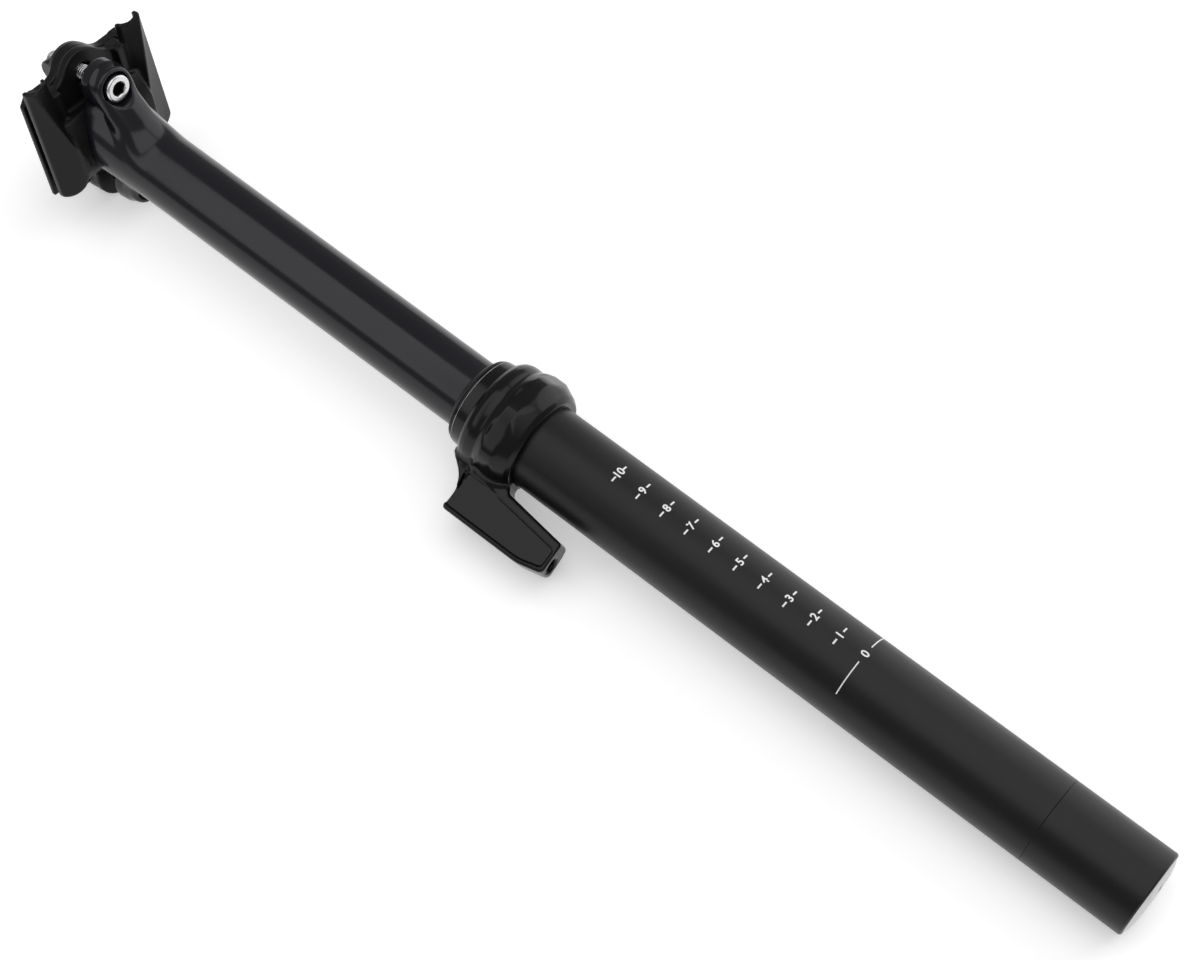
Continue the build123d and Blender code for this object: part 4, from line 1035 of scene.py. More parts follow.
class Growth(Graph):
    """A Geometry Nodes tree with named inputs, evaluated to a plain mesh."""

    def __init__(self, name: str, inputs: dict[str, float]) -> None:
        """Starts a tree.

        Args:
            name: The tree's name.
            inputs: Its inputs' names and values.
        """
        tree = bpy.data.node_groups.new(name, "GeometryNodeTree")
        super().__init__(tree)
        tree.interface.new_socket("Geometry", in_out="OUTPUT", socket_type="NodeSocketGeometry")
        self.sizes = inputs
        self.names: dict[str, str] = {}
        for key in inputs:
            whole = isinstance(inputs[key], int)
            kind = "NodeSocketInt" if whole else "NodeSocketFloat"
            item = tree.interface.new_socket(key, in_out="INPUT", socket_type=kind)
            self.names[key] = item.identifier
        self.entry = self.node("NodeGroupInput")

    def size(self, name: str) -> Signal:
        """A named input."""
        return self.entry.out(name)

    def grow(self, name: str, geometry: Signal, finish: Finish) -> bpy.types.Object:
        """Ends the tree and turns its result into an object.

        Args:
            name: The object's name.
            geometry: The last geometry.
            finish: Its finish.
        Returns:
            The object, with no modifier left.
        """
        real = self.node("GeometryNodeRealizeInstances", {}, {0: geometry}).out()
        dressed = self.node("GeometryNodeSetMaterial", {}, {0: real, "Material": material(finish)}).out()
        self.node("NodeGroupOutput", {}, {0: dressed})
        carrier = bpy.data.objects.new(name, bpy.data.meshes.new(name))
        bpy.context.scene.collection.objects.link(carrier)
        modifier = carrier.modifiers.new("Growth", "NODES")
        modifier.node_group = self.tree
        for key, value in self.sizes.items():
            modifier[self.names[key]] = value
        carrier.update_tag()
        bpy.context.view_layer.update()
        graph = bpy.context.evaluated_depsgraph_get()
        mesh = bpy.data.meshes.new_from_object(carrier.evaluated_get(graph))
        carrier.modifiers.clear()
        carrier.data = mesh
        if not mesh.materials:
            mesh.materials.append(material(finish))
        return carrier


def grown_thread(name: str, radius: float, pitch: float, length: float, wire: float,
                 finish: Finish, steps: int = 28, sides: int = 5) -> bpy.types.Object:
    """A helical thread ridge about Z, from height 0.

    Args:
        name: The object's name.
        radius: The helix's radius in millimetres.
        pitch: The thread's pitch.
        length: The thread's length.
        wire: The ridge's radius.
        finish: Its finish.
        steps: Segments in each turn.
        sides: Sides of the ridge.
    Returns:
        The object.
    """
    sizes = {"Radius": radius * MM, "Turns": length / pitch, "Length": length * MM, "Ridge": wire * MM}
    tree = Growth(name + "_tree", sizes)
    helix = tree.node("GeometryNodeCurveSpiral", {}, {
        "Resolution": steps, "Rotations": tree.size("Turns"), "Start Radius": tree.size("Radius"),
        "End Radius": tree.size("Radius"), "Height": tree.size("Length"),
    }).out()
    ridge = tree.node("GeometryNodeCurvePrimitiveCircle", {},
                      {"Resolution": sides, "Radius": tree.size("Ridge")}).out()
    swept = tree.node("GeometryNodeCurveToMesh", {},
                      {"Curve": helix, "Profile Curve": ridge, "Fill Caps": True}).out()
    return tree.grow(name, swept, finish)


# Sub-assemblies


@dataclass
class TubeAssembly:
    """The outer tube, its bottom cap and the bright end plug."""

    radius: float = TUBE_RADIUS
    bore: float = 14.0
    edge: float = 0.16
    seam: float = 0.05
    end_edge: float = 0.55
    rim: float = 1.6
    spigot_wall: float = 0.7
    plug_ledge: float = 12.6
    plug_rise: float = 1.6
    dome_shares: Points = ((0.0, 0.0), (0.3, 0.0), (0.6, 0.12), (0.85, 0.48), (0.97, 0.86), (1.0, 1.0))
    hole_spacing: float = 15.0
    hole_radius: float = 1.5
    hole_depth: float = 4.0
    hole_lead: float = 2.0
    hole_round: float = 0.1
    hole_edge: float = 0.35
    plug_face: float = 0.3

    def build(self) -> None:
        """Makes and dresses the three pieces."""
        low, top = (corner.z for corner in extent("outer_tube"))
        tube = rounded([(self.radius, low), (self.radius, top), (self.bore, top), (self.bore, low)],
                       self.edge)
        place_piece(lathe("outer_tube_turned", tube, Finish.TUBE), Body.OUTER, "satin_anodised", "outer_tube")
        cap_top = extent("bottom_cap")[1].z
        plug = extent("end_plug")[1].x + self.seam / 2
        spigot = self.bore - self.seam
        cap = rounded([
            (plug, self.rim), (self.radius - self.end_edge, self.rim),
            (self.radius, self.rim + self.end_edge), (self.radius, low - self.seam),
            (spigot, low - self.seam), (spigot, cap_top),
            (spigot - self.spigot_wall, cap_top), (spigot - self.spigot_wall, self.rim + self.plug_rise),
            (plug, self.rim + self.plug_rise),
        ], self.edge)
        place_piece(lathe("bottom_cap_turned", cap, Finish.TUBE), Body.OUTER, "satin_anodised", "bottom_cap")
        self._plug(plug - self.seam)

    def _plug(self, radius: float) -> None:
        """The bright end plug: a shallow dome with two spanner holes.

        Args:
            radius: The plug's radius.
        """
        depth = extent("end_plug")[1].z
        shoulder = self.rim + self.plug_rise - self.seam
        dome = [(radius * across, self.rim * rise) for across, rise in self.dome_shares]
        body = revolved(dome + [(radius, shoulder), (self.plug_ledge, shoulder), (self.plug_ledge, depth),
                                (0.0, depth)])
        for place in (self.hole_spacing / 2, -self.hole_spacing / 2):
            hole = cylinder(2, (place, 0.0), self.hole_radius, -self.hole_lead, self.hole_depth,
                            self.hole_round)
            body = body.cut(hole, self.hole_edge)
        low, high = (-radius - 1, -radius - 1, -1.0), (radius + 1, radius + 1, depth + 1)
        piece = skin("end_plug_turned", body, low, high, self.plug_face, Finish.SILVER)
        place_piece(piece, Body.OUTER, "bare_aluminium", "end_plug")


@dataclass
class Scale:
    """The printed height scale: marks 10 mm apart, their numbers and the insertion line."""

    zero: float = 114.2
    step: float = 10.0
    count: int = 11
    middle: float = 181.9
    left_dash: float = 171.3
    right_dash: float = 192.5
    dash_length: float = 2.1
    dash_width: float = 0.6
    digit_height: float = 2.95
    boldness: float = 0.1
    ink: float = 0.03
    line_from: float = 121.0
    line_to: float = 240.0
    line_gap: float = 13.0
    line_width: float = 0.42
    line_steps: int = 48
    dash_points: int = 6
    digit_share: float = 0.72
    digit_steps: int = 6
    radius: float = TUBE_RADIUS

    def build(self) -> None:
        """Prints the scale on the outer tube."""
        marks = [self._dashes(azimuth) for azimuth in (self.left_dash, self.right_dash)]
        marks += [self._number(index) for index in range(self.count)]
        marks += [self._line(self.line_from, self.middle - self.line_gap),
                  self._line(self.middle + self.line_gap, self.line_to)]
        place_piece(joined("printed_scale", marks), Body.OUTER, "satin_anodised")

    def _dashes(self, azimuth: float) -> bpy.types.Object:
        """One column of dashes, wrapped round the tube.

        Args:
            azimuth: The column's middle, in degrees.
        Returns:
            The dashes.
        """
        sizes = {"Count": self.count - 1, "Step": self.step * MM, "Start": (self.zero + self.step) * MM,
                 "Length": self.dash_length * MM, "Width": self.dash_width * MM,
                 "Radius": (self.radius + self.ink) * MM, "Azimuth": math.radians(azimuth)}
        tree = Growth("dash_tree", sizes)
        rise = tree.node("ShaderNodeCombineXYZ", {}, {"Y": tree.size("Start")}).out()
        step = tree.node("ShaderNodeCombineXYZ", {}, {"Y": tree.size("Step")}).out()
        line = tree.node("GeometryNodeMeshLine", {"mode": "OFFSET"},
                         {"Count": tree.size("Count"), "Start Location": rise, "Offset": step}).out()
        dash = tree.node("GeometryNodeMeshGrid", {}, {
            "Size X": tree.size("Length"), "Size Y": tree.size("Width"),
            "Vertices X": self.dash_points, "Vertices Y": 2,
        }).out()
        spread = tree.node("GeometryNodeInstanceOnPoints", {}, {"Points": line, "Instance": dash}).out()
        flat = tree.node("GeometryNodeRealizeInstances", {}, {0: spread}).out()
        at = tree.node("ShaderNodeSeparateXYZ", {}, {0: tree.node("GeometryNodeInputPosition").out()})
        angle = at.out("X") / tree.size("Radius") + tree.size("Azimuth")
        place = tree.node("ShaderNodeCombineXYZ", {}, {
            "X": angle.cosine() * tree.size("Radius"), "Y": angle.sine() * tree.size("Radius"),
            "Z": at.out("Y"),
        }).out()
        wrapped = tree.node("GeometryNodeSetPosition", {}, {"Geometry": flat, "Position": place}).out()
        return tree.grow("dashes", wrapped, Finish.INK)

    def _wrap(self, mesh: bpy.types.Mesh, azimuth: float, height: float) -> None:
        """Bends a flat print, in millimetres, round the tube.

        Args:
            mesh: The print.
            azimuth: Where its middle goes, in degrees.
            height: The height of its middle.
        """
        reach = self.radius + self.ink
        for vertex in mesh.vertices:
            angle = math.radians(azimuth) + vertex.co.x / reach
            vertex.co = Vector((math.cos(angle) * reach, math.sin(angle) * reach, height + vertex.co.y)) * MM

    def _number(self, index: int) -> bpy.types.Object:
        """One number of the scale.

        Args:
            index: The number.
        Returns:
            Its print.
        """
        curve = bpy.data.curves.new(f"number_{index}", "FONT")
        curve.body = str(index)
        curve.align_x = "CENTER"
        curve.align_y = "CENTER"
        curve.size = self.digit_height / self.digit_share
        curve.offset = self.boldness
        curve.resolution_u = self.digit_steps
        text = bpy.data.objects.new(curve.name, curve)
        bpy.context.scene.collection.objects.link(text)
        bpy.context.view_layer.update()
        mesh = bpy.data.meshes.new_from_object(text.evaluated_get(bpy.context.evaluated_depsgraph_get()))
        bpy.data.objects.remove(text)
        self._wrap(mesh, self.middle, self.zero + index * self.step)
        mesh.materials.clear()
        mesh.materials.append(material(Finish.INK))
        return bpy.data.objects.new(mesh.name, mesh)

    def _line(self, start: float, end: float) -> bpy.types.Object:
        """A stretch of the insertion line.

        Args:
            start: Where it starts, in degrees.
            end: Where it ends.
        Returns:
            The line.
        """
        reach = self.radius + self.ink
        angles = np.radians(np.linspace(start, end, self.line_steps))
        corners = [(reach * math.cos(a), reach * math.sin(a), self.zero + side * self.line_width / 2)
                   for a in angles for side in (-1, 1)]
        faces = [(2 * i, 2 * i + 2, 2 * i + 3, 2 * i + 1) for i in range(len(angles) - 1)]
        mesh = bpy.data.meshes.new("insertion_line")
        mesh.from_pydata([Vector(corner) * MM for corner in corners], [], faces)
        mesh.materials.append(material(Finish.INK))
        return bpy.data.objects.new(mesh.name, mesh)


@dataclass
class Collar:
    """The collar with its wrench flats and cable arm, the arm's cover, and the rings on top."""

    azimuth: float = 64.0
    radius: float = 21.6
    height: float = 21.4
    profile_shares: Points = (
        (0.824, 0.0), (0.889, 0.07), (1.0, 0.313), (1.0, 0.523), (0.954, 0.617), (0.926, 0.678),
        (0.935, 0.78), (0.935, 0.85), (0.915, 0.93), (0.866, 1.0),
    )
    ring_round: float = 0.6
    flats_count: int = 8
    flats_across: float = 41.5
    flats_height: float = 12.2
    flats_round: float = 0.8
    flats_rise: float = 0.6
    flats_edge: float = 0.7
    # The arm, seen from its flat side
    thickness: float = 11.5
    reach: float = 36.4
    top_drop: float = 7.6
    taper: float = 9.6
    setback: float = 2.2
    inner_tip: float = 22.4
    inner_root: float = 19.4
    root_drop: float = 2.3
    top_fillet: float = 10.0
    knee_fillet: float = 18.0
    corner: float = 1.6
    toe_share: float = 1.6
    edge: float = 1.1
    arm_fillet: float = 3.6
    # The rib along the arm's inner edge
    rib: float = 3.3
    rib_slope: float = 0.3
    rib_scale: float = 0.9
    rib_edge: float = 1.2
    # The cover's recess and the slope from it to the collar's flank
    border: float = 1.6
    recess: float = 1.9
    recess_round: float = 1.0
    recess_edge: float = 0.5
    flank_share: float = 0.86
    flank_rise: float = 1.5
    flank_reach: float = 1.6
    flank_slope: float = 1.3
    flank_scale: float = 0.6
    flank_blend: float = 1.6
    cover_gap: float = 0.07
    cover_thickness: float = 1.3
    cover_edge: float = 0.4
    cover_face: float = 0.34
    # The bores
    tube_bore: float = 15.18
    bore_depth: float = 14.1
    thread_bore: float = 14.8
    thread_start: float = 15.0
    shoulder_bore: float = 14.0
    tube_clear: float = 15.48
    tube_lap: float = 0.01
    bore_round: float = 0.05
    bore_edge: float = 0.35
    thread_edge: float = 0.3
    beyond: float = 5.0
    # The cable's port in the arm's tip
    cable_line: float = 30.1
    cable_radius: float = 2.55
    cable_depth: float = 9.6
    mouth_wider: float = 0.55
    mouth_depth: float = 0.75
    port_start: float = 4.0
    port_round: float = 0.2
    port_edge: float = 0.35
    # The retainer, its bright chamfer and the seal: radius, and height from the part's top
    neck: tuple[float, float] = (14.03, 14.77)
    flange: float = 16.9
    flange_height: float = 0.5
    retainer_top: Points = ((16.4, -1.0), (16.1, -0.95), (16.1, 0.0), (14.88, 0.0), (14.88, -1.9),
                            (14.03, -1.9))
    retainer_edge: float = 0.12
    chamfer: Points = ((16.12, -0.93), (16.44, -1.08), (16.3, -0.88), (16.12, -0.8))
    seal_width: tuple[float, float] = (12.75, 14.85)
    seal_skirt: Points = ((14.85, 0.4), (15.6, 0.4), (15.45, 0.95), (14.3, 1.35))
    seal_lip: Points = ((13.45, 0.0), (12.75, 0.0), (12.75, -0.7))
    seal_waist: float = 13.4
    seal_base: float = 0.7
    seal_edge: float = 0.14

    def build(self) -> None:
        """Makes and dresses the collar's pieces."""
        low, high = extent("collar_housing")
        self.top, self.tip = high.z, low.z
        self.base = self.top - self.height
        self.arm = Placement(Vector((0, 0, 0)), compass(self.azimuth), compass(self.azimuth + QUARTER),
                             Vector((0, 0, 1)))
        piece = skin_node("collar_and_arm", "collar_housing", self._housing(), FACE, Finish.COLLAR)
        place_piece(piece, Body.OUTER, "collar_black", "collar_housing")
        self._cover()
        self._rings()

    def _arm_outline(self) -> Outline:
        """The arm's outline, outward reach against height.

        Returns:
            The outline.
        """
        top, knee = self.top - self.top_drop, self.tip + self.taper
        toe = self.corner * self.toe_share
        foot, crown = self.profile_shares[0][0], self.profile_shares[-1][0]
        return eased([
            (self.tube_bore, self.top, 0.0), (self.radius * crown, self.top, 0.0),
            (self.reach - self.top_fillet, top, self.top_fillet), (self.reach, top, self.corner),
            (self.reach, knee, self.knee_fillet), (self.reach - self.setback, self.tip, toe),
            (self.inner_tip, self.tip + self.corner / 2, self.corner),
            (self.inner_root, self.base - self.root_drop, toe),
            (self.radius * foot, self.base, 0.0), (self.tube_bore, self.base, 0.0),
        ])

    def _cover_outline(self, gap: float) -> Outline:
        """The recess for the arm's cover, smaller by the gap.

        Args:
            gap: The gap all round.
        Returns:
            The outline, reach against height.
        """
        border = self.border + gap
        knee, top = self.tip + self.taper, self.top - self.top_drop
        inside = self.radius * self.flank_share
        rib = self.rib - gap
        return eased([
            (inside, top + self.flank_rise - gap, 0.0),
            (self.reach - self.top_fillet, top - gap, self.top_fillet),
            (self.reach - border, top - gap, self.corner), (self.reach - border, knee, self.knee_fillet),
            (self.reach - border - self.setback, self.tip + border, self.corner),
            (self.inner_tip + rib, self.tip + border, self.corner), (self.inner_root + rib, self.base, 0.0),
            (inside, self.base + self.flank_rise, 0.0),
        ])

    def _ramp(self) -> Form:
        """The near side's floor, which rises from the recess to the collar's flank.

        Returns:
            The space above the floor.
        """
        floor = self.thickness / 2 - self.recess

        def rise(points: np.ndarray) -> np.ndarray:
            """The distance to the slope."""
            run = (self.radius + self.flank_reach - points[:, 0]) * self.flank_slope
            return (run + floor - points[:, 1]) * self.flank_scale

        return Form(lambda p: floor - p[:, 1]).meet(Form(rise), self.flank_blend)

    def _bevel(self) -> Form:
        """The rounded rib along the arm's inner edge.

        Returns:
            The space inside the rib's planes.
        """
        low = np.array([self.inner_tip, self.tip])
        run = np.array([self.inner_root, self.base - self.root_drop]) - low
        inward = np.array([run[1], -run[0]]) / np.linalg.norm(run)

        def distance(points: np.ndarray) -> np.ndarray:
            """The distance to the slanted planes beside the inner edge.

            Args:
                points: The points, one in each row.
            Returns:
                Their distances.
            """
            depth = (points[:, 0] - low[0]) * inward[0] + (points[:, 2] - low[1]) * inward[1]
            over = np.abs(points[:, 1]) - self.thickness / 2
            return over * self.rib_scale + (self.rib - depth) * self.rib_slope

        return Form(distance)

    def _housing(self) -> Form:
        """The collar and its arm as one casting.

        Returns:
            The casting, with its bores and the cover's recess.
        """
        above, below = self.top + self.beyond, self.tip - self.beyond
        shares = [(self.radius * across, self.base + self.height * up) for across, up in self.profile_shares]
        ring = revolved(rounded([(0.0, self.base)] + shares + [(0.0, self.top)], self.ring_round,
                                steps=5, support=0.0))
        flats = flat_sided(self.flats_count, self.flats_across / 2, self.flats_round)
        over = slab(2, self.base + self.flats_height, above)
        ring = ring.meet(flats.join(over, self.flats_rise), self.flats_edge)
        half = self.thickness / 2
        arm = prism(self._arm_outline(), 0, 2).meet(slab(1, -half, half), self.edge)
        arm = arm.meet(self._bevel(), self.rib_edge)
        body = ring.join(arm.seen_from(self.arm), self.arm_fillet)
        recess = prism(self._cover_outline(0.0), 0, 2).meet(self._ramp(), self.recess_round)
        body = body.cut(recess.seen_from(self.arm), self.recess_edge)
        for radius, low, high, edge in (
            (self.tube_bore, below, self.base + self.bore_depth, self.bore_edge),
            (self.thread_bore, self.base + self.thread_start, above, self.thread_edge),
            (self.shoulder_bore, self.base, above, 0.0),
            (self.tube_clear, below, self.base + self.tube_lap, self.thread_edge),
        ):
            body = body.cut(cylinder(2, (0, 0), radius, low, high, self.bore_round), edge)
        start = self.tip - self.port_start
        port, mouth = (
            cylinder(2, (self.cable_line, 0.0), radius, start, self.tip + depth, self.port_round)
            for radius, depth in ((self.cable_radius, self.cable_depth),
                                  (self.cable_radius + self.mouth_wider, self.mouth_depth)))
        return body.cut(port.join(mouth, self.thread_edge).seen_from(self.arm), self.port_edge)

    def _cover(self) -> None:
        """The flat cover set in the arm's near face."""
        floor = self.thickness / 2 - self.recess + SEAM
        sheet = slab(1, floor, floor + self.cover_thickness)
        plate = prism(self._cover_outline(self.cover_gap), 0, 2).meet(sheet, self.cover_edge)
        outside = Form(lambda p: self.radius - p[:, 0])
        plate = plate.meet(outside, self.cover_edge).seen_from(self.arm)
        piece = skin_node("arm_cover_plate", "arm_cover", plate, self.cover_face, Finish.COVER)
        place_piece(piece, Body.OUTER, "collar_black", "arm_cover")

    def _rings(self) -> None:
        """The seal retainer, its bright chamfer and the wiper seal."""
        low, top = (corner.z for corner in extent("seal_retainer"))
        base = self.top + SEAM
        inner, outer = self.neck
        ring = rounded([
            (inner, low), (outer, low), (outer, base), (self.flange, base),
            (self.flange, base + self.flange_height), *raised(self.retainer_top, top),
        ], self.retainer_edge)
        place_piece(lathe("seal_retainer_turned", ring, Finish.COLLAR), Body.OUTER, "collar_black",
                    "seal_retainer")
        chamfer = lathe("retainer_chamfer", raised(self.chamfer, top), Finish.SILVER)
        place_piece(chamfer, Body.OUTER, "collar_black")
        seal_low, seal_top = (corner.z for corner in extent("wiper_seal"))
        inner, outer = self.seal_width
        seal = rounded([
            (inner, seal_low), (outer, seal_low), *raised(self.seal_skirt, top),
            *raised(self.seal_lip, seal_top), (self.seal_waist, top), (inner, seal_low + self.seal_base),
        ], self.seal_edge)
        place_piece(lathe("wiper_seal_moulded", seal, Finish.RUBBER), Body.OUTER, "rubber", "wiper_seal")


@dataclass
class HeadFrame:
    """The tilted frame of the head and clamp: forward, to the side, and up along the bolts."""

    tilt: float = 16.4
    setforward: float = 0.8
    neck: float = 452.1
    bolt: float = 22.0
    axis_height: float = 10.0

    def placement(self) -> Placement:
        """The head's axes in the post's frame.

        Returns:
            The axes, from the neck's centre.
        """
        turn = math.radians(self.tilt)
        forward = Vector((math.cos(turn), 0, -math.sin(turn)))
        up = Vector((math.sin(turn), 0, math.cos(turn)))
        centre = Vector((0, 0, self.neck)) + forward * self.setforward
        return Placement(centre, forward, Vector((0, 1, 0)), up)


@dataclass
class InnerPost:
    """The sliding tube, forged in one with its head."""

    head: HeadFrame
    radius: float = 12.7
    bore: float = 11.3
    end_edge: float = 0.3
    # Where the turned tube meets the head's skin, just under it
    splice: float = 402.0
    splice_length: float = 8.0
    splice_ring: float = 0.4
    splice_support: float = 0.3
    lap: float = 0.06
    lap_shares: tuple[float, float] = (1.4, 1.5)
    # The neck and the spines, with levels in the head's frame
    neck_start: float = 418.0
    head_top: float = -5.4
    head_edge: float = 1.0
    neck_growth: tuple[float, float] = (2.8, 1.3)
    neck_lean: float = 1.6
    spine_level: float = -13.0
    spine_fillet: float = 2.8
    spine_ease: float = 1.25
    spine_scale: float = 0.7
    foot: float = -80.0
    crown: float = 600.0
    # The bosses, their wells and holes, and the saddle for the cradle
    boss: float = 7.4
    boss_top: float = -8.8
    boss_round: float = 1.5
    face: float = -17.9
    saddle_radius: float = 21.0
    saddle_edge: float = 0.9
    counterbore: float = 5.9
    counterbore_depth: float = 5.4
    counterbore_lead: float = 9.0
    well_round: float = 0.2
    well_edge: float = 0.5
    bolt_hole: float = 3.3
    hole_rise: float = 6.0
    hole_round: float = 0.1
    hole_edge: float = 0.4

    def build(self) -> None:
        """Makes the tube and the head as one piece."""
        low = extent("inner_post")[0].z
        edge, end = self.end_edge, self.splice + self.splice_length
        near, far = (self.radius - share * self.lap for share in self.lap_shares)
        tube = [(self.bore + edge, low), (self.radius - edge, low), (self.radius, low + edge),
                (self.radius, low + 2 * edge), (self.radius, self.splice - self.splice_ring),
                (self.radius, self.splice), (near, end - self.splice_support), (far, end),
                (self.bore, end), (self.bore, low + edge)]
        pieces = [lathe("tube", tube, Finish.POST), self._head()]
        place_piece(joined("post_and_head", pieces), Body.POST, "gloss_anodised", "inner_post")

    def _head(self) -> bpy.types.Object:
        """The forged head above the splice.

        Returns:
            The head.
        """
        place = self.head.placement()
        whole = self._neck()
        for bolt in (-self.head.bolt, self.head.bolt):
            boss = cylinder(2, (bolt, 0.0), self.boss, self.face, self.boss_top, self.boss_round)
            whole = whole.join(self._spine(bolt).join(boss, self.spine_fillet), self.spine_fillet)
        whole = whole.seen_from(place)
        saddle = rod(1, (0.0, self.head.axis_height), self.saddle_radius)
        whole = whole.cut(saddle.seen_from(place), self.saddle_edge)
        for bolt in (-self.head.bolt, self.head.bolt):
            well = cylinder(2, (bolt, 0.0), self.counterbore, self.face - self.counterbore_lead,
                            self.face + self.counterbore_depth, self.well_round)
            hole = cylinder(2, (bolt, 0.0), self.bolt_hole, self.face, self.boss_top + self.hole_rise,
                            self.hole_round)
            whole = whole.cut(well.seen_from(place), self.well_edge)
            whole = whole.cut(hole.seen_from(place), self.hole_edge)
        whole = whole.meet(slab(2, self.splice, self.crown))
        low, high = extent("inner_post")
        spare = Vector((1, 2, 1))
        box_low = (low.x - spare.x, low.y - spare.y, self.splice - spare.z)
        return skin("head", whole, box_low, tuple(high + spare), FACE, Finish.POST)

    def _axis(self, level: np.ndarray) -> np.ndarray:
        """How far forward the tube's axis lies at each level of the head's frame."""
        return -level * math.tan(math.radians(self.head.tilt)) - self.head.setforward

    def _oval(self) -> tuple[float, float]:
        """The tube's half length and half width where the head's levels cut it."""
        radius = self.radius - self.lap / 3
        return radius / math.cos(math.radians(self.head.tilt)), radius

    def _risen(self, points: np.ndarray, end: float) -> np.ndarray:
        """How far each point has risen from the tube's top to a level, as a share.

        Args:
            points: The points, one in each row.
            end: The level at which the share is 1.
        Returns:
            The shares.
        """
        turn = math.radians(self.head.tilt)
        drop = self.neck_start - self.head.neck + (self.head.setforward + points[:, 0]) * math.sin(turn)
        start = drop / math.cos(turn)
        return np.clip((points[:, 2] - start) / (end - start), 0.0, 1.0)

    @staticmethod
    def _from_oval(points: np.ndarray, middle: np.ndarray, long: np.ndarray, wide: np.ndarray) -> np.ndarray:
        """The distance to an oval whose middle and half sizes go with the level."""
        away = np.sqrt(((points[:, 0] - middle) / long) ** 2 + (points[:, 1] / wide) ** 2 + NEARLY)
        return (away - 1) * np.minimum(long, wide)

    def _spine(self, bolt: float) -> Form:
        """The rib that leans out from the tube to one bolt's boss, in the head's frame.

        Args:
            bolt: How far forward the bolt stands.
        Returns:
            The rib.
        """
        long, wide = (size - self.spine_fillet / self.spine_scale for size in self._oval())

        def distance(points: np.ndarray) -> np.ndarray:
            """The distance to the oval at each level.

            Args:
                points: The points, one in each row.
            Returns:
                Their distances.
            """
            share = self._risen(points, self.spine_level)
            middle = self._axis(np.minimum(points[:, 2], self.spine_level))
            middle = middle + (bolt - self._axis(self.spine_level)) * share ** self.spine_ease
            across, aside = long + (self.boss - long) * share, wide + (self.boss - wide) * share
            return self._from_oval(points, middle, across, aside) * self.spine_scale

        return Form(distance).meet(slab(2, self.foot, self.boss_top), self.boss_round)

    def _neck(self) -> Form:
        """The tube and the oval forging that it grows into, in the head's frame.

        Returns:
            The neck, up to the head's top.
        """
        long, wide = self._oval()

        def distance(points: np.ndarray) -> np.ndarray:
            """The distance to the oval at each level.

            Args:
                points: The points, one in each row.
            Returns:
                Their distances.
            """
            share = self._risen(points, self.head_top)
            grown = share * share * (3 - 2 * share)
            across, aside = long + self.neck_growth[0] * grown, wide + self.neck_growth[1] * grown
            return self._from_oval(points, self._axis(points[:, 2]) - self.neck_lean * grown, across, aside)

        return Form(distance).meet(slab(2, self.foot, self.head_top), self.head_edge)


